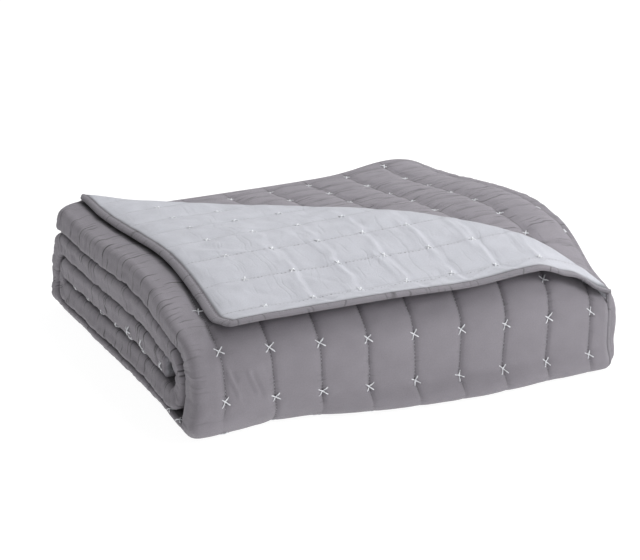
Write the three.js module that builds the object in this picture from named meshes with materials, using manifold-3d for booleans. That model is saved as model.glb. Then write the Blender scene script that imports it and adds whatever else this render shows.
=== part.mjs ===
// A quilted coverlet as it lies folded: its two long sides are laid in like a letter, the strip of three plies that
// this gives is rolled flat into five layers, and the last corner of the top ply is turned back to show the reverse.
// Millimetres, +X along the front, +Y to the back, +Z up. The pack is first laid out plain and square, with its
// first seam column at x = 0 and its front at y = 0, and settle() then gives each point the slump of real cloth.
import * as THREE from "three";
import { mergeVertices } from "three/addons/utils/BufferGeometryUtils.js";
import Module from "manifold-3d";

const wasm = await Module();
wasm.setup();

// The quilting grid drives every other length.
const PITCH = 50.8;
const LAST_COLUMN = 8;

// One ply is face, wadding and reverse quilted together. Three plies make the strip.
const PLY = 7;
const PLY_GAP = 1.6;
const STRIP = 3 * PLY + 2 * PLY_GAP;
const LAYER_GAP = 2.4;
const LAYER = STRIP + LAYER_GAP;
const LAYERS = 5;
const STACK = LAYERS * LAYER - LAYER_GAP;

// Where the plies end and fold across the strip.
const LEFT_FOLD_X = -0.3 * PITCH;
const RIGHT_FOLD_X = 9.12 * PITCH;
const FREE_EDGE_X = 8.76 * PITCH;
const INNER_EDGE_X = LEFT_FOLD_X + 2;

// Where the strip turns and ends along its roll.
const BACK_TURN_Y = 8.33 * PITCH;
const FRONT_TURN_Y = 1.53 * PITCH;
const INNER_END_Y = 1.75 * PITCH;
const OUTER_END_Y = 8.62 * PITCH;
const FRONT_CORNER = { low: 37, high: 42 };
const FRONT_SWELL = 1.4;

// Quilted relief: how far a seam lies under the puffs beside it.
const SEAM_DEPTH = { face: 3.4, under: 1.6, reverse: 2.2 };

// The turned-back corner: the fold runs where x + y = FOLD_SUM, and the corner lies mirrored in it.
const FOLD_SUM = 8.87 * PITCH;
const BEND = { inner: 0.7, outer: 6.7 };
const BEND_Z = STACK;
const BEND_LAP = 8;
const BEND_STEP_DEGREES = 30;
const TURNED_EDGE_X = FOLD_SUM - OUTER_END_Y;
const TURNED_EDGE_Y = FOLD_SUM - FREE_EDGE_X;
const TIP_FALL = { from: 7.7 * PITCH, across: 0.7 * PITCH };
const REVERSE_GAP = 0.3;
const REVERSE_THICK = 1.2;
const REVERSE_WRAP_DEGREES = 60;

// Binding tape, folded over every cut edge.
const TAPE_WIDTH = 9;
const TAPE_THICK = 5.6;
const TAPE_GAP = 0.3;

// The slump of the pack, in pitches. top: height of the top ply at the left end, from front to back.
const TOP_LINE = [
  { y: 0, top: 2.0 },
  { y: 0.9, top: 2.07 },
  { y: 2, top: 2.32 },
  { y: 3, top: 2.49 },
  { y: 4, top: 2.55 },
  { y: 6, top: 2.48 },
  { y: 8, top: 2.4 },
  { y: 9.4, top: 2.27 },
];
const TOP_SLOPE_X = 0.037;
const LEFT_DROP = 0.06;
const RIGHT_DROP = { from: 7, later: 0.9, rate: 0.1 };
const LIFTS = [
  { x: 7.9, y: 9.1, radius: 1.1, height: 0.24 },
  { x: -0.1, y: 8.9, radius: 1.1, height: 0.2 },
  { x: 8.5, y: 4.6, radius: 2.4, height: 0.2 },
  { x: 8.6, y: 0.5, radius: 1, height: -0.25 },
  { x: 5.2, y: 0, radius: 1.2, height: -0.08 },
];
const SWING = { x: 0.3, left: 0.55, right: 2.5, shift: 0.2 };
const TOE = { x: -0.35, across: 0.9, forward: 0.3, out: 0.12 };
const FOOT_LINE = [
  { x: -0.5, shift: 0 },
  { x: 0.5, shift: 0 },
  { x: 1.7, shift: -0.05 },
  { x: 2.4, shift: 0.12 },
  { x: 3.2, shift: 0.28 },
  { x: 4.6, shift: 0.4 },
  { x: 6, shift: 0.38 },
  { x: 7.5, shift: 0.27 },
  { x: 9.2, shift: 0.2 },
];
const PRESS = 0.45;
const FRONT_BOW = { middle: 4, depth: 0.13, fades: 4 };
const RIGHT_TUCK = { from: 8, rate: 0.25 };
const RIGHT_LINE = [
  { y: 0, shift: -0.18 },
  { y: 1, shift: -0.06 },
  { y: 2.5, shift: 0.02 },
  { y: 6, shift: 0 },
  { y: 9.4, shift: -0.3 },
];
const LEFT_LINE = [
  { z: 0, shift: 0.08 },
  { z: 0.3, shift: -0.08 },
  { z: 0.7, shift: 0 },
  { z: 1.3, shift: -0.02 },
  { z: 1.9, shift: -0.05 },
  { z: 2.3, shift: 0.03 },
  { z: 2.8, shift: 0.1 },
];
const FLAP_FLOAT = { y: 0.9, height: 0.17, x: 6.8, across: 0.8 };

const v = (x, y, z) => new THREE.Vector3(x, y, z);
const clamp = (value, low, high) => Math.min(high, Math.max(low, value));
const ease = (t) => {
  const c = clamp(t, 0, 1);
  return c * c * (3 - 2 * c);
};

// A smooth curve through the rows of a table: the value of column `value` where column `key` is `at`.
function through(rows, key, value, at) {
  const last = rows.length - 1;
  const here = clamp(at, rows[0][key], rows[last][key]);
  let i = 0;
  while (i < last - 1 && here > rows[i + 1][key]) i += 1;
  const slope = (j) => {
    const a = rows[Math.max(0, j - 1)];
    const b = rows[Math.min(last, j + 1)];
    return (b[value] - a[value]) / (b[key] - a[key]);
  };
  const span = rows[i + 1][key] - rows[i][key];
  const t = (here - rows[i][key]) / span;
  const rise = rows[i + 1][value] - rows[i][value];
  const bendA = slope(i) * span - rise;
  const bendB = rise - slope(i + 1) * span;
  return rows[i][value] + rise * t + t * (1 - t) * (bendA * (1 - t) + bendB * t);
}

// Height of the settled top, in pitches.
function topHeight(x, y) {
  let h = through(TOP_LINE, "y", "top", y) + TOP_SLOPE_X * x;
  h -= LEFT_DROP * Math.max(0, 1 - x) ** 2;
  const dropFrom = RIGHT_DROP.from + RIGHT_DROP.later * ease((y - 1.2) / 1.8);
  h -= RIGHT_DROP.rate * Math.max(0, x - dropFrom) ** 2;
  for (const lift of LIFTS) {
    const d2 = ((x - lift.x) ** 2 + (y - lift.y) ** 2) / lift.radius ** 2;
    h += lift.height * Math.exp(-d2);
  }
  return h;
}

// Moves a point of the plain, square pack to where it lies in the settled one.
function settle(p) {
  const x = p.x / PITCH;
  const y = p.y / PITCH;
  const share = p.z / STACK;
  const pressed = share > 1 ? share : share - PRESS * share * (1 - share) ** 2;
  const height = topHeight(x, y);
  const z = pressed * height;
  const over = Math.max(0, x - RIGHT_TUCK.from);
  const right = ease((x - 3) / 5) * through(RIGHT_LINE, "y", "shift", y);
  const left = ease(1 - x) * through(LEFT_LINE, "z", "shift", z);
  const bow = FRONT_BOW.depth * ((x - FRONT_BOW.middle) / FRONT_BOW.middle) ** 2;
  const floating = ease(1 - y / FLAP_FLOAT.y) * ease((FLAP_FLOAT.x + FLAP_FLOAT.across - x) / FLAP_FLOAT.across);
  const lifted = share > 1 ? FLAP_FLOAT.height * floating * ease((share - 1) * 200) : 0;
  const away = (x - SWING.x) / (x < SWING.x ? SWING.left : SWING.right);
  const swung = SWING.shift * clamp(y / 8.6, 0, 1.1) * Math.exp(-(away ** 2)) * ease((share - 0.8) / 0.2);
  const toe = Math.exp(-(((x - TOE.x) / TOE.across) ** 2)) * ease((1.5 - z) / 1.3) * ease((3 - y) / 2.5);
  const foot = through(FOOT_LINE, "x", "shift", x) * ease((0.62 - z) / 0.5) * ease((1.7 - y) / 1.3);
  return new THREE.Vector3(
    (x - RIGHT_TUCK.rate * over ** 2 + right + left - swung - TOE.out * toe) * PITCH,
    (y + bow * clamp(1 - y / FRONT_BOW.fades, 0, 1) - TOE.forward * toe - foot) * PITCH,
    (z + lifted) * PITCH,
  );
}

// Floor and top of a layer, counted from 1 at the floor.
const floorOf = (level) => (level - 1) * LAYER;
const topOf = (level) => floorOf(level) + STRIP;

// Stations of the roll, from its inner end to its outer end. Each has a point of the strip's outer side, the
// direction that side faces, how much thicker the strip lies there, and how far its two quilted faces puff.
const TOP_STATIONS = 11;
function rollStations() {
  const stations = [];
  const add = (y, z, ny, nz, swell, face, under) => stations.push({ y, z, ny, nz, swell, face, under });
  const run = (from, to, z, steps, face, under) => {
    const facing = Math.sign(to - from);
    for (let i = 0; i <= steps; i++) add(from + ((to - from) * i) / steps, z, 0, facing, 1, face, under);
  };
  const turn = (y, z, radius, from, to, steps, swell, face) => {
    for (let i = 1; i < steps; i++) {
      const a = THREE.MathUtils.degToRad(from + ((to - from) * i) / steps);
      add(y + radius * Math.cos(a), z + radius * Math.sin(a), Math.cos(a), Math.sin(a), swell, face, 0);
    }
  };
  const innerBack = (topOf(3) - floorOf(2)) / 2;
  const outerBack = (topOf(4) - floorOf(1)) / 2;
  const innerFront = (topOf(4) - floorOf(2)) / 2;
  run(INNER_END_Y, BACK_TURN_Y, topOf(3), 5, 0.4, 0);
  turn(BACK_TURN_Y, floorOf(2) + innerBack, innerBack, 90, -90, 5, 1, 0.4);
  run(BACK_TURN_Y, FRONT_TURN_Y, floorOf(2), 5, 0.4, 0);
  turn(FRONT_TURN_Y, floorOf(2) + innerFront, innerFront, 270, 90, 6, 1, 0.4);
  run(FRONT_TURN_Y, BACK_TURN_Y, topOf(4), 5, 0.4, 0);
  turn(BACK_TURN_Y, outerBack, outerBack, 90, -90, 8, 1, 1);
  run(BACK_TURN_Y, FRONT_CORNER.low, 0, 6, 0, 0);
  const low = FRONT_CORNER.low;
  const high = FRONT_CORNER.high;
  const turning = (i, n) => 1 + (FRONT_SWELL - 1) * ease(i / n);
  for (let i = 1; i < 4; i++) {
    const a = THREE.MathUtils.degToRad(270 - 22.5 * i);
    add(low + low * Math.cos(a), low + low * Math.sin(a), Math.cos(a), Math.sin(a), turning(i, 4), i / 4, 0);
  }
  add(0, low, -1, 0, FRONT_SWELL, 1, 0);
  add(0, (low + STACK - high) / 2, -1, 0, FRONT_SWELL, 1, 0);
  add(0, STACK - high, -1, 0, FRONT_SWELL, 1, 0);
  for (let i = 1; i < 4; i++) {
    const a = THREE.MathUtils.degToRad(180 - 22.5 * i);
    const y = high + high * Math.cos(a);
    add(y, STACK - high + high * Math.sin(a), Math.cos(a), Math.sin(a), turning(4 - i, 4), 0.8, 0);
  }
  run(high, OUTER_END_Y, STACK, 7, 0.4, 1);
  return stations;
}

// Relief of a quilted face at x: 0 at a seam, 1 on the puff between two.
const puffAt = (x) => Math.abs(Math.sin((Math.PI * x) / PITCH)) ** 0.7;

// The strip's section as one closed line through its three plies: x across the strip, depth under its outer side.
// face and under mark the points that the quilting raises.
function stripSection() {
  const line = [];
  const point = (x, depth, face = 0, under = 0) => line.push({ x, depth, face, under });
  const row = (xs, depth) => xs.forEach((x) => point(x, depth));
  const arc = (x, depth, radius, from, to, steps) => {
    for (let i = 0; i <= steps; i++) {
      const a = THREE.MathUtils.degToRad(from + ((to - from) * i) / steps);
      point(x + radius * Math.cos(a), depth - radius * Math.sin(a));
    }
  };
  const plain = [0.2, 3.6, 6.8, 7.5, 8.1, 8.6].map((c) => c * PITCH);
  const back = [...plain].reverse();
  point(FREE_EDGE_X, 1);
  for (let third = 3 * LAST_COLUMN + 1; third >= 0; third--) {
    const x = (third * PITCH) / 3;
    point(x, SEAM_DEPTH.face * (1 - puffAt(x)), 1);
  }
  arc(LEFT_FOLD_X, STRIP / 2, STRIP / 2, 90, 270, 6);
  row(plain, STRIP);
  const foldDepth = STRIP - PLY - PLY_GAP / 2;
  arc(RIGHT_FOLD_X, foldDepth, PLY + PLY_GAP / 2, -90, 90, 5);
  for (let half = 2 * LAST_COLUMN + 1; half > 0; half--) {
    const x = (half * PITCH) / 2;
    point(x, PLY + PLY_GAP, 0, 1 - puffAt(x));
  }
  row([INNER_EDGE_X], PLY + PLY_GAP);
  row([INNER_EDGE_X], 2 * PLY + PLY_GAP);
  row(plain, 2 * PLY + PLY_GAP);
  arc(RIGHT_FOLD_X, foldDepth, PLY_GAP / 2, 90, -90, 2);
  row(back, STRIP - PLY);
  arc(LEFT_FOLD_X, STRIP / 2, STRIP / 2 - PLY, 270, 90, 4);
  row(plain, PLY);
  point(FREE_EDGE_X, PLY - 1);
  return line;
}

// Where a section's point lies at a station of the roll.
function onRoll(station, point) {
  const raised = point.face ? point.depth * station.face : point.depth;
  const depth = (raised + point.under * SEAM_DEPTH.under * station.under) * station.swell;
  return new THREE.Vector3(point.x, station.y - station.ny * depth, station.z - station.nz * depth);
}

// A closed mesh from rings of points, one after another, with both ends capped.
function skin(rings) {
  const count = rings[0].length;
  const flat = rings[0].map((p) => p.cap);
  const caps = THREE.ShapeUtils.triangulateShape(flat, []);
  const sameWay = THREE.ShapeUtils.area(flat) * THREE.ShapeUtils.area(caps[0].map((i) => flat[i])) > 0;
  const index = [];
  for (let r = 0; r + 1 < rings.length; r++) {
    for (let i = 0; i < count; i++) {
      const j = (i + 1) % count;
      const a = r * count;
      const b = a + count;
      index.push(a + i, a + j, b + j, a + i, b + j, b + i);
    }
  }
  const end = (rings.length - 1) * count;
  for (const cap of caps) {
    const [a, b, c] = sameWay ? cap : [...cap].reverse();
    index.push(a, c, b, end + a, end + b, end + c);
  }
  return meshOf(rings.flat().map((p) => p.at), index);
}

function meshOf(points, index) {
  const geometry = new THREE.BufferGeometry().setFromPoints(points);
  geometry.setIndex(index);
  return geometry;
}

// A geometry as a solid, turned to face outwards.
function solid(geometry) {
  const merged = mergeVertices(geometry, 1e-3);
  const vertProperties = new Float32Array(merged.attributes.position.array);
  const triVerts = new Uint32Array(merged.index.array);
  const made = new wasm.Manifold(new wasm.Mesh({ numProp: 3, vertProperties, triVerts }));
  if (made.volume() > 0) return made;
  for (let i = 0; i < triVerts.length; i += 3) {
    const second = triVerts[i + 1];
    triVerts[i + 1] = triVerts[i + 2];
    triVerts[i + 2] = second;
  }
  return new wasm.Manifold(new wasm.Mesh({ numProp: 3, vertProperties, triVerts }));
}

function rolledStrip() {
  const section = stripSection();
  const cap = section.map((p) => new THREE.Vector2(p.x, p.depth));
  const rings = rollStations().map((s) => section.map((p, i) => ({ at: onRoll(s, p), cap: cap[i] })));
  return solid(skin(rings));
}

// A prism with its outline in the plane of the first two axes, carried by `place` to where it stands.
function prism(outline, depth, place) {
  const block = new THREE.ExtrudeGeometry(new THREE.Shape(outline), { depth, bevelEnabled: false });
  block.deleteAttribute("normal");
  block.deleteAttribute("uv");
  return solid(block.applyMatrix4(place));
}

// Everything of the top ply that lies beyond the fold of the turned corner.
function beyondFold() {
  const far = 2 * FOLD_SUM;
  const plan = [
    new THREE.Vector2(FOLD_SUM + PITCH, -PITCH),
    new THREE.Vector2(far, -PITCH),
    new THREE.Vector2(far, far),
    new THREE.Vector2(-PITCH, FOLD_SUM + PITCH),
  ];
  const between = { x: 0, depth: PLY + PLY_GAP / 2, face: 0, under: 0 };
  const side = rollStations()
    .slice(-TOP_STATIONS)
    .map((s) => onRoll({ ...s, under: 0 }, between))
    .map((p) => new THREE.Vector2(p.y, p.z));
  const first = side[0];
  const last = side[side.length - 1];
  const high = STACK + PITCH;
  const profile = [...side, new THREE.Vector2(far, last.y), new THREE.Vector2(far, high), new THREE.Vector2(-PITCH, high)];
  profile.push(new THREE.Vector2(-PITCH, first.y));
  const upright = new THREE.Matrix4().makeBasis(v(0, 1, 0), v(0, 0, 1), v(1, 0, 0));
  return prism(plan, STACK + PITCH, new THREE.Matrix4()).intersect(prism(profile, far, upright));
}

// How far the front right of the turned corner falls with the ply under it.
function tipFall(x, y) {
  const radius = FRONT_CORNER.high;
  const reach = clamp(radius - y, 0, radius);
  return (radius - Math.sqrt(radius ** 2 - reach ** 2)) * ease((x - TIP_FALL.from) / TIP_FALL.across);
}

// Grid lines of the turned corner, from its front edge to the back: on the seams and half way between.
function turnedLines() {
  const lines = [TURNED_EDGE_Y];
  for (let half = 2 * LAST_COLUMN + 1; half > 0; half--) lines.push(FOLD_SUM - (half * PITCH) / 2);
  lines.push(FOLD_SUM - TURNED_EDGE_X);
  return lines;
}

// A sheet on the turned corner, from `low` to `high` above the stack, that bends round the fold and ends `wrap`
// degrees past its outermost point, or runs back under the fold by `lap`.
function turnedSheet(low, high, wrap, lap) {
  const ys = turnedLines();
  const last = ys.length - 1;
  const xs = ys.map((_, i) => FOLD_SUM - ys[last - i]);
  const points = [];
  const index = [];
  const place = new Map();
  const dip = (i, j) => {
    const inside = i > 0 && j > 0 && i + j < last;
    return inside ? SEAM_DEPTH.reverse * (1 - puffAt(FOLD_SUM - ys[j])) : 0;
  };
  for (const side of ["high", "low"]) {
    for (let j = 0; j <= last; j++) {
      for (let i = 0; i + j <= last; i++) {
        place.set(side + i + "," + j, points.length);
        const z = BEND_Z + (side === "high" ? high - dip(i, j) : low - (low > BEND.outer ? dip(i, j) : 0));
        points.push(new THREE.Vector3(xs[i], ys[j], z));
      }
    }
  }
  const at = (side, i, j) => place.get(side + i + "," + j);
  const tri = (side, a, b, c) => index.push(...(side === "high" ? [a, b, c] : [a, c, b]));
  for (const side of ["high", "low"]) {
    for (let j = 0; j < last; j++) {
      for (let i = 0; i + j < last; i++) {
        tri(side, at(side, i, j), at(side, i + 1, j), at(side, i, j + 1));
        if (i + j < last - 1) tri(side, at(side, i + 1, j), at(side, i + 1, j + 1), at(side, i, j + 1));
      }
    }
  }
  const wall = (a, b, c, d) => index.push(a, b, c, a, c, d);
  for (let i = 0; i < last; i++) {
    wall(at("low", i, 0), at("low", i + 1, 0), at("high", i + 1, 0), at("high", i, 0));
    wall(at("low", 0, i + 1), at("low", 0, i), at("high", 0, i), at("high", 0, i + 1));
  }
  // The bend: each point of the fold line swings round it, in and out.
  const steps = Math.round((90 + wrap) / BEND_STEP_DEGREES);
  const out = Math.SQRT1_2;
  let ring = { high: [], low: [] };
  for (let i = 0; i <= last; i++) {
    ring.high.push(at("high", i, last - i));
    ring.low.push(at("low", i, last - i));
  }
  const rings = [ring];
  const addRing = (reachOf, riseOf) => {
    const next = { high: [], low: [] };
    for (let i = 0; i <= last; i++) {
      for (const side of ["high", "low"]) {
        const radius = side === "high" ? high : low;
        next[side].push(points.length);
        const reach = reachOf(radius) * out;
        const y = ys[last - i];
        points.push(new THREE.Vector3(xs[i] + reach, y + reach, BEND_Z + riseOf(radius)));
      }
    }
    rings.push(next);
  };
  for (let s = 1; s <= steps; s++) {
    const a = THREE.MathUtils.degToRad(90 - ((90 + wrap) * s) / steps);
    addRing((r) => r * Math.cos(a), (r) => r * Math.sin(a));
  }
  if (lap > 0) addRing(() => -lap, (r) => -r);
  for (let r = 0; r + 1 < rings.length; r++) {
    const a = rings[r];
    const b = rings[r + 1];
    for (let i = 0; i < last; i++) {
      wall(a.high[i], a.high[i + 1], b.high[i + 1], b.high[i]);
      wall(a.low[i], b.low[i], b.low[i + 1], a.low[i + 1]);
    }
    wall(a.low[0], a.high[0], b.high[0], b.low[0]);
    wall(a.high[last], a.low[last], b.low[last], b.high[last]);
  }
  for (const p of points) p.z -= tipFall(p.x, p.y);
  const tip = rings[rings.length - 1];
  for (let i = 0; i < last; i++) wall(tip.high[i], tip.high[i + 1], tip.low[i + 1], tip.low[i]);
  return solid(meshOf(points, index));
}

function quiltedCloth() {
  const turned = turnedSheet(BEND.inner, BEND.outer, 90, BEND_LAP);
  return rolledStrip().subtract(beyondFold()).add(turned);
}

const paleReverse = () => {
  const low = BEND.outer + REVERSE_GAP;
  return turnedSheet(low, low + REVERSE_THICK, REVERSE_WRAP_DEGREES, 0);
};

// Binding: stations hold the middle of the tape's inner edge, the way it reaches out, and the way that the cloth's
// reverse faces there.
function tape(stations) {
  const half = TAPE_THICK / 2;
  const outline = [
    [TAPE_GAP, -half * 0.7],
    [TAPE_GAP, half * 0.7],
    [TAPE_WIDTH * 0.3, half],
    [TAPE_WIDTH * 0.75, half * 0.85],
    [TAPE_WIDTH, 0],
    [TAPE_WIDTH * 0.75, -half * 0.85],
    [TAPE_WIDTH * 0.3, -half],
  ];
  const rings = stations.map((s) =>
    outline.map(([reach, rise]) => ({
      at: s.at
        .clone()
        .addScaledVector(s.out, reach)
        .addScaledVector(s.up, rise),
      cap: new THREE.Vector2(reach, rise),
    })),
  );
  return solid(skin(rings));
}

// Stations between two, with their directions turned evenly.
function blend(a, b, steps, sag) {
  const made = [];
  for (let i = 1; i < steps; i++) {
    const t = i / steps;
    const at = a.at.clone().lerp(b.at, t).addScaledVector(sag, 4 * t * (1 - t));
    const out = a.out.clone().lerp(b.out, t).normalize();
    const up = a.up.clone().lerp(b.up, t);
    up.addScaledVector(out, -up.dot(out)).normalize();
    made.push({ at, out, up });
  }
  return made;
}

const TURNED_Z = BEND_Z + (BEND.inner + BEND.outer + REVERSE_GAP + REVERSE_THICK) / 2;
const TURNED_HALF = TURNED_Z - BEND_Z;

// Stations round the front left corner of the turned-back cloth, from between its two edges to the edge that faces `to`.
function roundedCorner(to) {
  const made = [];
  const between = v(-1, -1, 0).normalize();
  const aside = to.clone().addScaledVector(between, -Math.SQRT1_2);
  for (const t of [0, 0.35, 0.65]) {
    const out = between.clone().lerp(to, t).normalize();
    const at = v(TURNED_EDGE_X, TURNED_EDGE_Y, TURNED_Z).addScaledVector(aside, TAPE_GAP * (1 - t));
    made.push({ at, out, up: v(0, 0, 1) });
  }
  return made;
}

// Stations over the fold at (x, y): the tape turns over with the cloth. side is 1 where it comes along y, else -1.
function overFold(x, y, side) {
  const made = [];
  for (let degrees = 90; degrees >= -60; degrees -= 30) {
    const a = THREE.MathUtils.degToRad(degrees);
    const up = v(Math.cos(a) * Math.SQRT1_2, Math.cos(a) * Math.SQRT1_2, Math.sin(a));
    const onward = v(Math.sin(a) * Math.SQRT1_2, Math.sin(a) * Math.SQRT1_2, -Math.cos(a));
    const along = v(-side * Math.SQRT1_2, side * Math.SQRT1_2, 0);
    const out = along.clone().sub(onward).multiplyScalar(Math.SQRT1_2);
    const at = v(x, y, BEND_Z - tipFall(x, y)).addScaledVector(up, TURNED_HALF);
    at.addScaledVector(along, TAPE_GAP + 0.3);
    made.push({ at, out, up });
  }
  return made;
}

// The tape along the coverlet's long side: the front edge of the turned corner, then down the strip's right end.
function longBinding() {
  const front = roundedCorner(v(0, -1, 0));
  const tip = FREE_EDGE_X - 3;
  const steps = 24;
  for (let i = 0; i <= steps; i++) {
    const x = TURNED_EDGE_X + ((tip - TURNED_EDGE_X) * i) / steps;
    const z = TURNED_Z - tipFall(x, TURNED_EDGE_Y);
    front.push({ at: v(x, TURNED_EDGE_Y, z), out: v(0, -1, 0), up: v(0, 0, 1) });
  }
  const down = rollStations()
    .slice(0, -TOP_STATIONS)
    .map((s) => {
      const depth = (PLY / 2) * s.swell;
      return { at: v(FREE_EDGE_X, s.y - s.ny * depth, s.z - s.nz * depth), out: v(1, 0, 0), up: v(0, -s.ny, -s.nz) };
    })
    .reverse();
  const over = overFold(FREE_EDGE_X, TURNED_EDGE_Y, -1);
  return tape([...front, ...over, ...blend(over[over.length - 1], down[0], 3, v(0, 0, 0)), ...down]);
}

// The tape along the coverlet's end: the left edge of the turned corner, then round the strip's outer end.
function endBinding() {
  const side = roundedCorner(v(-1, 0, 0));
  const steps = 12;
  const far = OUTER_END_Y - 3;
  for (let i = 0; i <= steps; i++) {
    const y = TURNED_EDGE_Y + ((far - TURNED_EDGE_Y) * i) / steps;
    side.push({ at: v(TURNED_EDGE_X, y, TURNED_Z), out: v(-1, 0, 0), up: v(0, 0, 1) });
  }
  const end = [];
  const ply = (x, depth, nx, nd) => end.push({ at: v(x, OUTER_END_Y, STACK - depth), out: v(0, 1, 0), up: v(-nx, 0, nd) });
  const arc = (x, depth, radius, from, to, count) => {
    for (let i = 0; i <= count; i++) {
      const a = THREE.MathUtils.degToRad(from + ((to - from) * i) / count);
      ply(x + radius * Math.cos(a), depth - radius * Math.sin(a), Math.cos(a), -Math.sin(a));
    }
  };
  ply(TURNED_EDGE_X - 6, PLY / 2, 0, -1);
  arc(LEFT_FOLD_X, STRIP / 2, STRIP / 2 - PLY / 2, 90, 270, 6);
  for (const c of [1, 3, 5, 6.8, 7.5, 8.1, 8.6]) ply(c * PITCH, STRIP - PLY / 2, 0, 1);
  const turnDepth = STRIP - PLY - PLY_GAP / 2;
  arc(RIGHT_FOLD_X, turnDepth, (PLY + PLY_GAP) / 2, -90, 90, 5);
  for (const c of [8.6, 8.1, 7.5, 6.8, 5, 3, 1]) ply(c * PITCH, PLY * 1.5 + PLY_GAP, 0, -1);
  ply(INNER_EDGE_X, PLY * 1.5 + PLY_GAP, 0, -1);
  return tape([...side, ...overFold(TURNED_EDGE_X, OUTER_END_Y, 1), ...end]);
}

// A solid's own mesh, with every point settled into the pack.
function settled(made) {
  const mesh = made.getMesh();
  const points = [];
  for (let i = 0; i < mesh.vertProperties.length; i += mesh.numProp) {
    const [x, y, z] = mesh.vertProperties.subarray(i, i + 3);
    points.push(settle(v(x, y, z)));
  }
  return meshOf(points, [...mesh.triVerts]).toNonIndexed();
}

const MATERIALS = {
  face: new THREE.MeshStandardMaterial({ color: 0x8b8890, roughness: 0.85, metalness: 0 }),
  reverse: new THREE.MeshStandardMaterial({ color: 0xc6c9d2, roughness: 0.8, metalness: 0 }),
  binding: new THREE.MeshStandardMaterial({ color: 0x85828a, roughness: 0.75, metalness: 0 }),
};

function piece(name, made, material) {
  const geometry = settled(made);
  geometry.computeVertexNormals();
  const mesh = new THREE.Mesh(geometry, material);
  mesh.name = name;
  return mesh;
}

const coverlet = new THREE.Group();
coverlet.add(
  piece("quilted_cloth", quiltedCloth(), MATERIALS.face),
  piece("pale_reverse", paleReverse(), MATERIALS.reverse),
  piece("binding_long_side", longBinding(), MATERIALS.binding),
  piece("binding_end", endBinding(), MATERIALS.binding),
);

// The origin lies on the floor under the middle of the pack.
const box = new THREE.Box3().setFromObject(coverlet);
const centre = box.getCenter(v(0, 0, 0));
coverlet.position.set(-centre.x, -centre.y, -box.min.z);

export default coverlet;
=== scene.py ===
"""A quilted coverlet as it lies folded, built around its fixed solids.

The cloth is one sheet, quilted in channels one pitch wide, with a cross stitch at every pitch along them. It
is laid out as a plain square pack in millimetres, with x along the front from the first seam column, y from
the front fold to the back and z up. settle() then gives each point the slump of real cloth, in metres."""
import math

import bpy
import numpy as np
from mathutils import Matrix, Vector


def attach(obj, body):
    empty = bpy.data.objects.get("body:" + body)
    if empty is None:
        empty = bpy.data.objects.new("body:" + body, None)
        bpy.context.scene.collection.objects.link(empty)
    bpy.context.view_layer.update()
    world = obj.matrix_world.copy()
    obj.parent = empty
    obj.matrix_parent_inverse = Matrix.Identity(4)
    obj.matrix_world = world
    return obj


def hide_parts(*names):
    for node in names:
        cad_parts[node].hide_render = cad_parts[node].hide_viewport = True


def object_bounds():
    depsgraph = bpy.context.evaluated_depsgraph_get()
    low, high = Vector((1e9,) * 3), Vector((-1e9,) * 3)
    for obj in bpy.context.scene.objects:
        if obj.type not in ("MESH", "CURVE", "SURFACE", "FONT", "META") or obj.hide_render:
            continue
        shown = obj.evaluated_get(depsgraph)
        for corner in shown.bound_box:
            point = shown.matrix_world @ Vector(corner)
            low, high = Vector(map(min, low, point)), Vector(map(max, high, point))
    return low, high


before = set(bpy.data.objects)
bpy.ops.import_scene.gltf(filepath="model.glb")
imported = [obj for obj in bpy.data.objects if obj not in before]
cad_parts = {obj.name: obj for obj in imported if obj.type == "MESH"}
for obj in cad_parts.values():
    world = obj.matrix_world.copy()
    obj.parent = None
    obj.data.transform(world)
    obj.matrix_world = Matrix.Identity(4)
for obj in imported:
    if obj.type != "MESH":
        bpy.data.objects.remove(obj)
CAD_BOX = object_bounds()

# Driving sizes in millimetres, the same as the solids'.
PITCH = 50.8
LAST_COLUMN = 8
PLY = 7.0
PLY_GAP = 1.6
STRIP = 3 * PLY + 2 * PLY_GAP
LAYER_GAP = 2.4
LAYER = STRIP + LAYER_GAP
STACK = 5 * LAYER - LAYER_GAP

LEFT_FOLD_X = -0.3 * PITCH
RIGHT_FOLD_X = 9.12 * PITCH
FREE_EDGE_X = 8.76 * PITCH
INNER_EDGE_X = LEFT_FOLD_X + 2
LEFT_RADIUS = STRIP / 2
RIGHT_RADIUS = PLY + PLY_GAP / 2
RIGHT_DEPTH = STRIP - PLY - PLY_GAP / 2

BACK_TURN_Y = 8.33 * PITCH
FRONT_TURN_Y = 1.53 * PITCH
INNER_END_Y = 1.75 * PITCH
OUTER_END_Y = 8.62 * PITCH
CORNER_LOW = 37.0
CORNER_HIGH = 42.0
FRONT_SWELL = 0.4

FOLD_SUM = 8.87 * PITCH
TURNED_EDGE_X = FOLD_SUM - OUTER_END_Y
TURNED_EDGE_Y = FOLD_SUM - FREE_EDGE_X
TIP_FALL_FROM = 7.7 * PITCH
TIP_FALL_ACROSS = 0.7 * PITCH
TIP_FALL_SHARE = 0.5

# The plain pack's origin: its place from the low corner of the solids' box, in millimetres, and in metres.
ORIGIN_IN_BOX = (37.14, 13.33)
PACK_ORIGIN = np.array([*(low + part / 1000 for low, part in zip(CAD_BOX[0], ORIGIN_IN_BOX)), 0])

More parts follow.
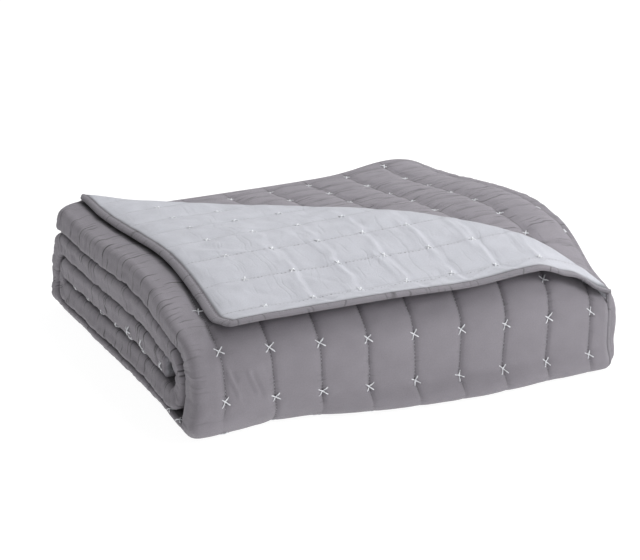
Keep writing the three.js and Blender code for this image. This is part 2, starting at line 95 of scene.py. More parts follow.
# The slump of the pack in pitches, as rows of a place and a value.
TOP_LINE = ((0, 2.0), (0.9, 2.07), (2, 2.32), (3, 2.49), (4, 2.55), (6, 2.48), (8, 2.4), (9.4, 2.27))
TOP_SLOPE_X = 0.037
LEFT_DROP = 0.06
RIGHT_DROP_FROM = 7
RIGHT_DROP_LATER = 0.9
RIGHT_DROP_RATE = 0.1
LIFTS = (
    (7.9, 9.1, 1.1, 0.24),
    (-0.1, 8.9, 1.1, 0.2),
    (8.5, 4.6, 2.4, 0.2),
    (8.6, 0.5, 1, -0.25),
    (5.2, 0, 1.2, -0.08),
)
FOOT_LINE = (
    (-0.5, 0), (0.5, 0), (1.7, -0.05), (2.4, 0.12), (3.2, 0.28), (4.6, 0.4), (6, 0.38), (7.5, 0.27),
    (9.2, 0.2),
)
SWING = 0.2
SWING_MIDDLE = 0.3
TOE = 0.3
PRESS = 0.45
BOW_MIDDLE = 4
BOW_DEPTH = 0.13
BOW_FADES = 4
RIGHT_TUCK_FROM = 8
RIGHT_TUCK_RATE = 0.25
RIGHT_LINE = ((0, -0.18), (1, -0.06), (2.5, 0.02), (6, 0), (9.4, -0.3))
LEFT_LINE = ((0, 0.08), (0.3, -0.08), (0.7, 0), (1.3, -0.02), (1.9, -0.05), (2.3, 0.03), (2.8, 0.1))
RIGHT_BULGE = ((8, 0), (8.6, -0.05), (8.9, 0.0), (9.27, 0.13))
RIGHT_FOOT = ((8, 0), (8.6, -0.1), (9.27, -0.36))
FLAP_FLOAT_Y = 0.9
FLAP_FLOAT_HEIGHT = 0.17
FLAP_FLOAT_X = 6.8
FLAP_FLOAT_ACROSS = 0.8


def ease(t):
    c = np.clip(t, 0, 1)
    return c * c * (3 - 2 * c)


def through(rows, at):
    """A smooth curve through rows of (place, value)."""
    keys, values = np.array(rows, float).T
    count = len(keys)
    after = np.r_[1:count, count - 1]
    before = np.r_[0, 0:count - 1]
    slopes = (values[after] - values[before]) / (keys[after] - keys[before])
    here = np.clip(at, keys[0], keys[-1])
    i = np.clip(np.searchsorted(keys, here, side="right") - 1, 0, len(keys) - 2)
    span = keys[i + 1] - keys[i]
    t = (here - keys[i]) / span
    rise = values[i + 1] - values[i]
    bend_a = slopes[i] * span - rise
    bend_b = rise - slopes[i + 1] * span
    return values[i] + rise * t + t * (1 - t) * (bend_a * (1 - t) + bend_b * t)


def top_height(x, y):
    """Height of the settled top, in pitches."""
    drop_from = RIGHT_DROP_FROM + RIGHT_DROP_LATER * ease((y - 1.2) / 1.8)
    h = through(TOP_LINE, y) + TOP_SLOPE_X * x
    h = h - LEFT_DROP * np.maximum(0, 1 - x) ** 2 - RIGHT_DROP_RATE * np.maximum(0, x - drop_from) ** 2
    for at_x, at_y, radius, height in LIFTS:
        h = h + height * np.exp(-((x - at_x) ** 2 + (y - at_y) ** 2) / radius**2)
    return h


def settle(points):
    """Carries points of the plain pack, in millimetres, to where they lie, in metres."""
    x, y, z = (np.asarray(points, float) / PITCH).T
    share = z * PITCH / STACK
    pressed = np.where(share > 1, share, share - PRESS * share * (1 - share) ** 2)
    height = top_height(x, y)
    z = pressed * height
    over = np.maximum(0, x - RIGHT_TUCK_FROM)
    right = ease((x - 3) / 5) * through(RIGHT_LINE, y)
    left = ease(1 - x) * through(LEFT_LINE, z)
    bow = BOW_DEPTH * ((x - BOW_MIDDLE) / BOW_MIDDLE) ** 2
    floating = ease(1 - y / FLAP_FLOAT_Y) * ease((FLAP_FLOAT_X + FLAP_FLOAT_ACROSS - x) / FLAP_FLOAT_ACROSS)
    lifted = np.where(share > 1, FLAP_FLOAT_HEIGHT * floating * ease((share - 1) * 200), 0)
    away = (x - SWING_MIDDLE) / np.where(x < SWING_MIDDLE, 0.55, 2.5)
    swung = SWING * np.clip(y / 8.6, 0, 1.1) * np.exp(-(away**2)) * ease((share - 0.8) / 0.2)
    toe = np.exp(-(((x + 0.35) / 0.9) ** 2)) * ease((1.5 - z) / 1.3) * ease((3 - y) / 2.5)
    bulging = np.interp(x, *zip(*RIGHT_BULGE)) * np.exp(-(((z - 1.0) / 0.75) ** 2))
    tucked = np.interp(x, *zip(*RIGHT_FOOT)) * (1 - np.sqrt(1 - 0.98 * np.clip((0.5 - z) / 0.5, 0, 1) ** 2))
    belly = (bulging + tucked) * ease((2.6 - y) / 2)
    settled_x = x - RIGHT_TUCK_RATE * over**2 + right + left - swung - 0.4 * TOE * toe + belly
    foot = through(FOOT_LINE, x) * ease((0.62 - z) / 0.5) * ease((1.7 - y) / 1.3)
    settled_y = y + bow * np.clip(1 - y / BOW_FADES, 0, 1) - TOE * toe - foot
    return np.stack([settled_x, settled_y, z + lifted], 1) * PITCH / 1000 + PACK_ORIGIN


def tip_fall(x, y):
    """How far the front right of the turned corner falls with the ply under it."""
    reach = np.clip(CORNER_HIGH - y, 0, CORNER_HIGH * 0.999)
    fall = CORNER_HIGH - np.sqrt(CORNER_HIGH**2 - reach**2)
    return TIP_FALL_SHARE * fall * ease((x - TIP_FALL_FROM) / TIP_FALL_ACROSS)


class Wander:
    """A smooth random field of two coordinates, from -1 to 1, which repeats every `size` cells."""

    def __init__(self, seed, size=61):
        self.size = size
        self.table = np.random.default_rng(seed).uniform(-1, 1, (size, size))

    def __call__(self, u, v):
        u, v = np.broadcast_arrays(np.asarray(u, float), np.asarray(v, float))
        i = np.floor(u).astype(int)
        j = np.floor(v).astype(int)
        a = u - i
        b = v - j
        a = a * a * (3 - 2 * a)
        b = b * b * (3 - 2 * b)
        at = lambda di, dj: self.table[(i + di) % self.size, (j + dj) % self.size]
        low = at(0, 0) * (1 - a) + at(1, 0) * a
        high = at(0, 1) * (1 - a) + at(1, 1) * a
        return low * (1 - b) + high * b


# The roll's path: the strip's outer side from its inner end at the middle layer to its outer end on top.
def floor_of(level):
    return (level - 1) * LAYER


def top_of(level):
    return floor_of(level) + STRIP


def roll_path():
    """The path's runs (y, z, y, z) and turns (y, z, radius, from, to), and the length at which each starts."""
    inner_back = (top_of(3) - floor_of(2)) / 2
    outer_back = (top_of(4) - floor_of(1)) / 2
    inner_front = (top_of(4) - floor_of(2)) / 2
    parts = [
        (INNER_END_Y, top_of(3), BACK_TURN_Y, top_of(3)),
        (BACK_TURN_Y, floor_of(2) + inner_back, inner_back, 90, -90),
        (BACK_TURN_Y, floor_of(2), FRONT_TURN_Y, floor_of(2)),
        (FRONT_TURN_Y, floor_of(2) + inner_front, inner_front, 270, 90),
        (FRONT_TURN_Y, top_of(4), BACK_TURN_Y, top_of(4)),
        (BACK_TURN_Y, outer_back, outer_back, 90, -90),
        (BACK_TURN_Y, 0, CORNER_LOW, 0),
        (CORNER_LOW, CORNER_LOW, CORNER_LOW, 270, 180),
        (0, CORNER_LOW, 0, STACK - CORNER_HIGH),
        (CORNER_HIGH, STACK - CORNER_HIGH, CORNER_HIGH, 180, 90),
        (CORNER_HIGH, STACK, OUTER_END_Y, STACK),
    ]
    starts = [0.0]
    for part in parts:
        run = len(part) == 4
        size = math.dist(part[:2], part[2:]) if run else math.radians(abs(part[4] - part[3])) * part[2]
        starts.append(starts[-1] + size)
    return parts, starts


PARTS, STARTS = roll_path()
LENGTH = STARTS[-1]
LEVEL_3, _, _, _, LEVEL_4, BACK_OUTER, LEVEL_1 = STARTS[:7]
FRONT_LOW, FRONT, FRONT_HIGH, LEVEL_5 = STARTS[7:11]


def on_path(s):
    """The path's place (y, z) and outward normal (ny, nz) at lengths s."""
    s = np.asarray(s, float)
    y, z, ny, nz = (np.zeros_like(s) for _ in range(4))
    for part, start, end in zip(PARTS, STARTS, STARTS[1:]):
        here = (s >= start) & (s <= end)
        t = (s[here] - start) / (end - start)
        if len(part) == 4:
            y0, z0, y1, z1 = part
            y[here] = y0 + (y1 - y0) * t
            z[here] = z0 + (z1 - z0) * t
            ny[here] = (z0 - z1) / (end - start)
            nz[here] = (y1 - y0) / (end - start)
        else:
            y0, z0, radius, first, last = part
            a = np.radians(first + (last - first) * t)
            ny[here] = np.cos(a)
            nz[here] = np.sin(a)
            y[here] = y0 + radius * ny[here]
            z[here] = z0 + radius * nz[here]
    return y, z, ny, nz


def swell(s):
    """How much thicker the strip lies where it wraps the front."""
    fades = ease((LEVEL_5 - s) / (LEVEL_5 - FRONT_HIGH))
    return 1 + FRONT_SWELL * ease((s - FRONT_LOW) / (FRONT - FRONT_LOW)) * fades


# The strip's section. Each side gives a point's x, its depth under the outer side, and the way it faces.
ROUND_SIDES = {
    "left": (LEFT_FOLD_X, LEFT_RADIUS, LEFT_RADIUS, 1),
    "right": (RIGHT_FOLD_X, RIGHT_DEPTH, RIGHT_RADIUS, 1),
    "left_inside": (LEFT_FOLD_X, LEFT_RADIUS, LEFT_RADIUS - PLY, -1),
    "right_inside": (RIGHT_FOLD_X, RIGHT_DEPTH, PLY_GAP / 2, -1),
}
FLAT_SIDES = {
    "outer": (0, 1),
    "under": (STRIP, -1),
    "middle": (PLY + PLY_GAP, 1),
    "middle_reverse": (2 * PLY + PLY_GAP, -1),
    "under_reverse": (STRIP - PLY, 1),
    "outer_reverse": (PLY, -1),
}


def section(side, u):
    """On a flat side u is the place along x, and on a round one the angle in degrees."""
    if side in FLAT_SIDES:
        depth, facing = FLAT_SIDES[side]
        return u, depth, 0, facing
    x, depth, radius, way = ROUND_SIDES[side]
    a = np.radians(u)
    return x + radius * np.cos(a), depth - radius * np.sin(a), way * np.cos(a), way * np.sin(a)


# The angle of the first seam beyond the left fold, a little higher than in a plain roll.
SEAM_ANGLE = 243


def column_of(side, u):
    """How far across the flat cloth a point of the section is, in pitches from the first seam column."""
    left = LEFT_FOLD_X / PITCH
    under = left - math.pi * LEFT_RADIUS / PITCH
    right = under - (RIGHT_FOLD_X - LEFT_FOLD_X) / PITCH
    right_arc = math.pi * RIGHT_RADIUS / PITCH
    if side.startswith("outer"):
        return u / PITCH
    if side.startswith("left"):
        return np.interp(u, (90, SEAM_ANGLE, 270), (left, -1, under))
    if side.startswith("under"):
        return under - (u - LEFT_FOLD_X) / PITCH
    if side.startswith("right"):
        return right - (u + 90) / 180 * right_arc
    return right - right_arc - (RIGHT_FOLD_X - u) / PITCH


def in_pack(points):
    """Settled points, in metres, as places on the quilting grid: pitches from the pack's own origin."""
    return (np.array(points) - PACK_ORIGIN) * 1000 / PITCH


# Cross stitches of the front, by column: how far the low and the high one stand beside it, and their heights,
# in pitches. A third row lies near the front edge of the turned corner.
FRONT_STITCHES = (
    (-1, 0.0, 0.03, 0.84, 1.71),
    (0, 0.027, 0.004, 0.748, 1.68),
    (1, 0.053, -0.033, 0.659, 1.646),
    (2, 0.015, -0.027, 0.629, 1.613),
    (3, -0.004, -0.037, 0.588, 1.563),
    (4, -0.038, -0.057, 0.563, 1.507),
    (5, -0.068, -0.025, 0.525, 1.452),
    (6, -0.089, -0.03, 0.507, 1.401),
    (7, -0.07, -0.016, 0.485, 1.388),
    (8, -0.045, -0.009, 0.469, 1.383),
    (9, -0.045, 0.0, 0.46, 1.38),
)
TOP_ROW_GAPS = ((0, 1.327), (6, 1.24), (7, 0.918), (9, 0.9))
FRONT_XS = np.linspace(-0.6 * PITCH, 9.4 * PITCH, 60)
FRONT_MIDDLE = np.stack([FRONT_XS, FRONT_XS * 0, FRONT_XS * 0 + STACK / 2], 1)
FRONT_COLUMNS = in_pack(settle(FRONT_MIDDLE))[:, 0]


def front_rows():
    """Per column: its number, the path's lengths at its low, high and third stitch, and its two shifts."""
    rows = []
    s = np.linspace(FRONT_LOW, LEVEL_5, 300)
    y, z, _, _ = on_path(s)
    for column, shift_low, shift_high, low, high in FRONT_STITCHES:
        x = np.interp(column, FRONT_COLUMNS, FRONT_XS)
        heights = in_pack(settle(np.stack([x + 0 * s, y, z], 1)))[:, 2]
        at_low, at_high = np.interp([low, high], heights, s)
        third = at_high + np.interp(column, *zip(*TOP_ROW_GAPS)) * PITCH
        rows.append((column, at_low, at_high, third, shift_low, shift_high))
    return np.array(rows, float).T


FRONT_ROWS = front_rows()
SEAM_DRIFT = 0.16
LATER_DRIFT = 0.3


def row_at(column, s):
    """Grid row of a length s at a column of the outer side."""
    low, high, top = (np.interp(column, FRONT_ROWS[0], lengths_) for lengths_ in FRONT_ROWS[1:4])
    row = np.where(s < low, (s - low) / PITCH, (s - low) / (high - low))
    row = np.where(s > high, 1 + (s - high) / (top - high), row)
    return np.where(s > top, 2 + (s - top) / PITCH, row)


def seam_shift(column, row, s):
    """How far a column of the outer side stands beside its even place."""
    share = np.clip(row, -0.3, 1.2)
    shift = np.interp(column, FRONT_ROWS[0], FRONT_ROWS[4]) * (1 - share)
    shift = shift + np.interp(column, FRONT_ROWS[0], FRONT_ROWS[5]) * share
    y = on_path(s)[0]
    near_front = ease((s - FRONT_LOW + PITCH) / PITCH)
    drift = SEAM_DRIFT * ease((y / PITCH - 0.25) / 1.2) + LATER_DRIFT * ease((y / PITCH - 1.5) / 1.4)
    drift = drift * (0.3 + 0.7 * np.clip(column, 0, 1))
    return near_front * shift + drift * ease((s - FRONT_HIGH) / 10)


def outer_grid(x, s):
    """Grid place (column, row) of a point of the outer side, x in millimetres."""
    column = np.interp(x, FRONT_XS, FRONT_COLUMNS)
    row = row_at(column, s)
    return column - seam_shift(column, row, s), row


def seam_x(column, s):
    """The x in millimetres of a grid column at lengths s of the outer side."""
    shift = seam_shift(column, row_at(column, s), s)
    x = np.interp(column + shift, FRONT_COLUMNS, FRONT_XS)
    even = np.interp(column, FRONT_COLUMNS, FRONT_XS)
    keep = ease((even - LEFT_FOLD_X) / 12) * ease((FREE_EDGE_X - even) / 12)
    return even + (x - even) * keep


# The middle ply's grid, seen behind the turned corner, lies a little turned.
MIDDLE_TURN = math.radians(3.41)
MIDDLE_SHIFT = (0.132, 0.068)


def turned_by(angle, x, y):
    return x * math.cos(angle) + y * math.sin(angle), y * math.cos(angle) - x * math.sin(angle)


def middle_grid(x, s):
    """Grid place of a point of the middle ply's face."""
    y, z, _, _ = on_path(s)
    place = in_pack(settle(np.stack([x + 0 * y, y, z - PLY - PLY_GAP], 1)))
    return turned_by(MIDDLE_TURN, place[:, 0] + MIDDLE_SHIFT[0], place[:, 1] + MIDDLE_SHIFT[1])


# Relief in millimetres over the plain surface.
SMALL = Wander(11)
BROAD = Wander(12)
CROSSWISE = Wander(13)


def dip(distance, width):
    return 1 / (1 + (distance / width) ** 2)


def quilting(column, row, seam, puff, stitch):
    """Channels between seams, pulled in again at each cross stitch."""
    away = np.abs(column - np.round(column)) * PITCH
    along = np.abs(row - np.round(row)) * PITCH
    between = np.abs(np.sin(np.pi * column)) ** 0.8
    relief = -seam * dip(away, 2.3) + puff * (between - 1)
    relief = relief - stitch * np.exp(-(away**2 + along**2) / 6.5**2)
    pleats = CROSSWISE(column * 1.7 + 31, row * 5.2) + 0.6 * CROSSWISE(column * 2.3 + 7, row * 9.1)
    return relief + 0.4 * pleats * np.exp(-away / 9) * (seam + puff) / 4


# Soft creases on the front, each from one place (column, height in the settled pack) to another.
FRONT_CREASES = (
    ((0.45, 1.54), (0.68, 0.96), 1.8, 2.1),
    ((0.53, 1.48), (0.76, 0.88), 2.4, -1.5),
    ((0.05, 1.6), (0.3, 0.98), 2.0, 2.1),
    ((0.13, 1.54), (0.42, 0.82), 2.4, -1.6),
    ((0.23, 1.32), (0.4, 0.9), 1.7, 1.5),
    ((0.8, 1.6), (0.94, 1.1), 2.0, -0.7),
    ((-0.24, 1.5), (-0.14, 0.8), 3.0, 1.1),
    ((-0.4, 1.4), (-0.3, 0.6), 2.6, -0.9),
    ((0.9, 1.68), (0.66, 1.84), 2.2, -0.8),
    ((1.9, 1.64), (1.62, 1.8), 2.2, -0.7),
    ((2.92, 1.6), (2.7, 1.74), 2.0, -0.7),
    ((1.1, 1.2), (1.35, 0.7), 3.0, -0.4),
    ((1.12, 0.68), (1.5, 0.5), 2.4, -0.6),
    ((2.1, 0.64), (2.42, 0.8), 2.4, -0.5),
    ((7.1, 1.75), (7.95, 1.5), 4.0, -0.9),
    ((6.1, 1.95), (6.75, 1.72), 4.0, -0.7),
    ((8.05, 1.7), (8.35, 1.2), 2.4, -0.8),
)


def crease(px, pz, start, end, width, height):
    """A soft ridge or valley along a straight line, fading at both ends."""
    ax, az = start
    dx, dz = end[0] - ax, end[1] - az
    length = math.hypot(dx, dz)
    along = ((px - ax) * dx + (pz - az) * dz) / length**2
    across = ((px - ax) * dz - (pz - az) * dx) / length * PITCH
    fade = ease(along / 0.3 + 0.2) * ease((1 - along) / 0.3 + 0.2)
    return height * fade * np.exp(-((across / width) ** 2))


def outer_relief(x, s):
    column, row = outer_grid(x, s)
    z = on_path(s)[1]
    front = ease((s - FRONT_LOW + 5) / 25) * ease((LEVEL_5 + 12 - s) / 20)
    back = ease((s - BACK_OUTER + 30) / 40) * ease((LEVEL_1 + 25 - s) / 25)
    top = ease((s - LEVEL_5) / 20)
    rise = np.maximum(ease((row + 0.75) / 0.7), 0.8 * np.exp(-(((column - 1) / 0.3) ** 2)))
    puffed = 0.12 + 0.28 * rise + 0.6 * ease((row - 0.75) / 0.7)
    strength = np.maximum.reduce([front * (0.25 + 0.75 * rise), back * 0.85, top * 0.55, 0 * s + 0.2])
    puff = np.maximum.reduce([front * puffed, back * 0.85, top * 0.55, 0 * s + 0.2])
    relief = quilting(column, row, 2.2 * strength, 2.8 * puff, 1.3 * strength)
    height = z / PITCH * 0.86
    relief = relief + sum(crease(column, height, *each) for each in FRONT_CREASES) * front
    relief = relief + 0.8 * BROAD(column * 1.3, s / 37) * (front * (0.4 + 0.6 * rise) + back)
    relief = relief + 0.35 * SMALL(column * 5, s / 9) * (front + back + top)
    standing = (s > LEVEL_1) & (s < FRONT_LOW)
    return np.where(standing, -np.abs(relief) * 0.3, relief)


# Puckers over the rounded left end. Each crosses it at one length, with its own slant, width and depth.
def make_puckers(seed, spacing):
    rng = np.random.default_rng(seed)
    rows = []
    s = 0.0
    while s < LENGTH:
        s += rng.gamma(2.0, spacing / 2)
        group = rng.choice([1, 1, 2, 3, 4])
        slant = rng.normal(0, 2.2)
        middle = rng.uniform(-0.7, 0.7)
        for k in range(group):
            depth = rng.uniform(0.7, 2.1) * (1 if k == 0 else 0.8)
            place = s + k * rng.uniform(4, 7)
            slanted = slant + rng.normal(0, 0.6)
            rows.append((place, slanted, middle, rng.uniform(0.5, 1.3), rng.uniform(1.5, 2.8), depth))
        s += group * 4
    return np.array(rows)


LEFT_PUCKERS = make_puckers(21, 13.0)


def bulge_relief(s, around):
    """Relief of the rounded left end. around runs from -1 on the outer side to 1 on the under side."""
    around = around + 0 * s
    relief = np.zeros_like(s)
    bend = 1.5 * (1 - around**2)
    for at, slant, middle, reach, width, depth in LEFT_PUCKERS:
        centre = at + slant * around + bend
        near = np.abs(s - centre) < 4 * width
        if near.any():
            window = np.exp(-(((around[near] - middle) / reach) ** 2))
            relief[near] -= depth * window * np.exp(-(((s[near] - centre[near]) / width) ** 2))
    return relief + 0.9 * BROAD(around * 0.7 + 9, s / 24) + 0.4 * SMALL(around * 2 + 3, s / 7)


LEFT_REACH = 0.55 * PITCH


def with_bulge(relief, side, x, s, keep):
    """A flat side's relief, with that of the rounded left end carried on into it."""
    reach = (x - LEFT_FOLD_X) / LEFT_REACH + 0 * s
    if np.min(reach) >= 1:
        return relief
    share = ease(1 - reach)
    around = np.where(side == "outer", -1 - 0.6 * reach, 1 + 0.6 * reach)
    return relief * (1 - keep * share) + bulge_relief(s, around) * share * 0.8


def relief_of(side, u, s):
    """Height of the cloth's own relief at a point of the section, in millimetres."""
    if side == "left":
        column = column_of(side, u)
        seam = -1.1 * dip(np.abs(column - np.round(column)) * PITCH, 1.8)
        return bulge_relief(s, (u - 180) / 90) + seam + 2.8 * np.sin(np.radians(2 * u)) ** 2
    if side == "outer":
        return with_bulge(outer_relief(u, s), side, u, s, 0.5)
    if side == "under":
        column = column_of(side, u)
        relief = -1.4 * dip(np.abs(column - np.round(column)) * PITCH, 2.3) + np.zeros_like(s)
        return with_bulge(relief, side, u, s, 0)
    if side == "middle":
        top = ease((s - LEVEL_5) / 15)
        if not np.any(top > 0):
            return np.zeros_like(s)
        column, row = middle_grid(u, s)
        top = top * ease((LENGTH - s) / 24)
        relief = quilting(column, row, 1.3 * top, 2.2 * top, 1.0 * top)
        return relief + top * cross_puckers(column, row) + 0.5 * top * SMALL(column * 3, row * 4)
    if side == "right":
        column = column_of(side, u)
        seam = -1.2 * dip(np.abs(column - np.round(column)) * PITCH, 2)
        return seam + 0.8 * BROAD(u / 60 + 3, s / 30) + 0.5 * SMALL(u / 30 + 5, s / 8)
    return np.zeros_like(s)


def marks_of(side, u, s):
    """What the shade follows: the grid column, how deep the seams lie, and how much the cloth puckers."""
    s = np.asarray(s, float)
    column = column_of(side, u) + 0 * s
    sewn = 1 + 0 * s
    wraps = ease((s - FRONT_LOW + 10) / 20) * ease((LEVEL_5 - s) / 20)
    inner = 0.5 * ease((s - LEVEL_5) / 30)
    if side == "outer":
        column, row = outer_grid(u, s)
        weight = ease((0.55 * PITCH - u) / (0.3 * PITCH)) * (0.3 + inner)
        low = np.maximum(ease((row + 0.5) / 0.4), ease((-0.9 - row) / 0.3))
        sewn = np.maximum(low, np.exp(-(((column - 1) / 0.3) ** 2)))
    elif side == "middle":
        column, _ = middle_grid(u, s)
        weight = 0.7 + 0 * s
    elif side in ("left", "under"):
        weight = (1.0 if side == "left" else 0.8) + 0 * s
    elif side == "right":
        weight = 0.6 + 0 * s
    else:
        column = 0.5 + 0 * s
        weight = 0.2 + 0 * s
    return np.stack([column, sewn, weight * (1 - 0.75 * wraps)], 1)


def contact_of(side, u, s):
    """Painted shade, from 0 to 1: how far the next layer shades the cloth, or how deep a pucker of the middle
    ply is.
    """
    if side == "outer":
        return ease((u + 0 * s - TURNED_EDGE_X + 10) / 5) * ease((s - LEVEL_5 + 5) / 10)
    if side == "middle":
        away, strong, within = pucker_places(*middle_grid(u, s))
        return 0.5 * strong * within * np.exp(-((away / 2.6) ** 2)) * ease((s - LEVEL_5) / 15)
    if side not in ("left", "right"):
        return np.full(len(s), 1.0 if side == "under" else 0.0)
    low, high = (u - 90, 270 - u) if side == "left" else (90 - u, 90 + u)
    above = np.where(np.asarray(s) > BACK_OUTER, 0.0, math.exp(-((low / 22) ** 2)))
    return np.maximum(above, math.exp(-((high / 24) ** 2)))


def pucker_places(column, row):
    """Distance in millimetres from the middle ply's nearest cross pucker, its strength and its fading."""
    wander = 0.18 * CROSSWISE(column * 1.3 + 3, row * 1.1) + 0.06 * CROSSWISE(column * 4 + 3, row * 2.1)
    half = row * 2 + wander
    which = np.round(half)
    away = np.abs(half - which) * PITCH / 2
    strong = 0.5 + 0.5 * CROSSWISE(np.floor(column) * 3.7 + 0.5, which * 2.3)
    return away, strong, np.abs(np.sin(np.pi * column)) ** 0.3


def cross_puckers(column, row):
    """Puckers of the middle ply's face that run from seam to seam, at the stitches and half way between."""
    away, strong, within = pucker_places(column, row)
    finer = 0.35 * CROSSWISE(column * 0.9 + 11, row * 7.3)
    return (-2.2 * strong * dip(away, 2.0) + finer) * within


def cloth_points(side, u, s, lift=0.0):
    """Points of the folded cloth at lengths s, raised by lift millimetres over its relief."""
    s = np.asarray(s, float)
    x, depth, facing_x, facing_out = section(side, u)
    y, z, ny, nz = on_path(s)
    raised = relief_of(side, u, s) + lift
    out = -depth * swell(s) + raised * facing_out
    points = np.stack([x + raised * facing_x, y + ny * out, z + nz * out], 1)
    points[:, 2] = np.maximum(points[:, 2], 0.0)
    return settle(points)


def spread(start, stop, step):
    """Evenly spread lengths from start to stop, no further apart than step, both ends included."""
    return np.linspace(start, stop, max(2, int(math.ceil(abs(stop - start) / step)) + 1))


def lengths(steps, end=LENGTH):
    """Lengths along the path, with a step for each of its parts and one for the start of the top."""
    bounds_ = list(STARTS[:-1]) + [LEVEL_5 + 1.6 * PITCH, LENGTH]
    made = [spread(a, b, step)[:-1] for a, b, step in zip(bounds_, bounds_[1:], steps) if a < end]
    s = np.concatenate(made + [[end]])
    return np.concatenate([s[s < end - 0.4], [end]])


# Steps in millimetres over the path's parts: inner layers and turns, then back, floor, front and top.
BULGE_STEPS = (4, 2.6, 3, 2.6, 2.6, 2.6, 2.6, 2.6, 2.6, 2.6, 2.2, 2.2)
SHOWN_STEPS = (26, 8, 26, 8, 26, 4.5, 22, 3, 3, 3, 3, 9)
HIDDEN_STEPS = (30, 9, 30, 9, 30, 10, 30, 9, 26, 9, 24, 24)
RIGHT_STEPS = (5, 4, 5, 4, 5, 4, 5, 4, 4, 4, 4, 4)
FINE_STEP = 3.6

# Places across one channel, in pitches, closer together near its seams.
CHANNEL = (0, 0.02, 0.05, 0.09, 0.145, 0.22, 0.31, 0.405, 0.5, 0.595, 0.69, 0.78, 0.855, 0.91, 0.95, 0.98)
NEAR_LEFT = (-0.29, -0.22, -0.15, -0.09)
CREASED = (
    0.12, 0.17, 0.19, 0.25, 0.28, 0.34, 0.375, 0.44, 0.47, 0.53, 0.56, 0.625, 0.66, 0.725, 0.76, 0.82,
)
MIDDLE_LINES_PER_PITCH = 14


def outer_end_of(x):
    """Length at which the outer ply ends at x, at the turned corner's fold or at the strip's own end."""
    y = max(0, min(OUTER_END_Y, FOLD_SUM - x))
    if y >= CORNER_HIGH:
        return LEVEL_5 + y - CORNER_HIGH
    a = math.degrees(math.acos((CORNER_HIGH - y) / CORNER_HIGH))
    return FRONT_HIGH + math.radians(a) * CORNER_HIGH


def outer_columns():
    """The outer ply's face from its free edge to the left: (side, place, lengths)."""
    columns = [c + t for c in range(LAST_COLUMN + 1) for t in CHANNEL] + list(NEAR_LEFT) + list(CREASED)
    rows = [("outer", FREE_EDGE_X - 0.6, lengths(SHOWN_STEPS, outer_end_of(FREE_EDGE_X - 0.6)))]
    for column in sorted(columns, reverse=True):
        x = float(np.interp(column, FRONT_COLUMNS, FRONT_XS))
        if LEFT_FOLD_X + 0.5 < x < FREE_EDGE_X - 1.5:
            end = outer_end_of(float(seam_x(column, np.array([outer_end_of(x)]))[0]))
            s = lengths(BULGE_STEPS if x < 0.2 * PITCH else SHOWN_STEPS, end)
            rows.append(("outer", seam_x(column, s), s))
    return rows


def middle_columns():
    """The middle ply's face from the right fold to the left, fine where the turned corner uncovers it."""
    rows = []
    coarse = lengths(HIDDEN_STEPS)
    for k in range(9 * MIDDLE_LINES_PER_PITCH, -3, -1):
        x = k / MIDDLE_LINES_PER_PITCH * PITCH
        start = outer_end_of(x) - 0.5 * PITCH if x > 0.3 * PITCH else LENGTH - PITCH / 2
        start = max(start, LEVEL_5 - 20)
        fine = spread(start, LENGTH, FINE_STEP)
        rows.append(("middle", x, np.concatenate([coarse[coarse < start - 2], fine])))
    return rows


def cloth_columns():
    """All lines along the strip that its mesh is drawn on, in order round its section."""
    plain = [c * PITCH for c in (-0.22, -0.1, 0.05, 0.25, 0.5, 1.5, 3.5, 5.5, 7.2, 8.2, 8.7, 8.95)]
    inside = [c * PITCH for c in (0.1, 1.5, 3.5, 5.5, 7.2, 8.2, 8.7)]
    bulge = lengths(BULGE_STEPS)
    right = lengths(RIGHT_STEPS)
    hidden = lengths(HIDDEN_STEPS)
    rows = outer_columns()
    rows += [("left", a, bulge) for a in np.linspace(90, 270, 19)]
    for x in plain:
        rows.append(("under", x, bulge if x < 0.2 * PITCH else right if x > 8.5 * PITCH else hidden))
    rows += [("right", a, right) for a in np.linspace(-90, 90, 11)]
    rows += middle_columns()
    rows += [("middle", INNER_EDGE_X + 0.4, hidden), ("middle_reverse", INNER_EDGE_X + 0.4, hidden)]
    rows += [("middle_reverse", x, hidden) for x in inside]
    rows += [("right_inside", a, hidden) for a in (90, 0, -90)]
    rows += [("under_reverse", x, hidden) for x in reversed(inside)]
    rows += [("left_inside", a, hidden) for a in np.linspace(270, 90, 7)]
    for x in inside + [FREE_EDGE_X - 0.6]:
        rows.append(("outer_reverse", x, lengths(HIDDEN_STEPS, outer_end_of(x))))
    return rows


def zip_lines(a, b, first_a, first_b, triangles):
    """Triangles between two lines of points whose lengths along the path are a and b."""
    i = j = 0
    while i < len(a) - 1 or j < len(b) - 1:
        take_a = j == len(b) - 1 or (i < len(a) - 1 and a[i + 1] <= b[j + 1])
        if take_a:
            triangles.append((first_a + i, first_b + j, first_a + i + 1))
            i += 1
        else:
            triangles.append((first_a + i, first_b + j, first_b + j + 1))
            j += 1


def in_scene(name, data, place=(0, 0, 0), turn=(0, 0, 0)):
    made = bpy.data.objects.new(name, data)
    made.location = place
    made.rotation_euler = turn
    bpy.context.scene.collection.objects.link(made)
    return made


def mesh_object(name, points, faces, material):
    """A smooth mesh object that rides on the coverlet's one body, turned to face outwards."""
    points = np.asarray(points, float)
    faces = [tuple(f) for f in faces]
    fan = np.array([(f[0], f[k], f[k + 1]) for f in faces for k in range(1, len(f) - 1)])
    a, b, c = points[fan[:, 0]], points[fan[:, 1]], points[fan[:, 2]]
    if np.einsum("ij,ij->", a, np.cross(b, c)) < 0:
        faces = [f[::-1] for f in faces]
    mesh = bpy.data.meshes.new(name)
    mesh.from_pydata(points.tolist(), [], faces)
    mesh.update()
    mesh.shade_smooth()
    mesh.materials.append(material)
    made = in_scene(name, mesh)
    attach(made, "root")
    return made


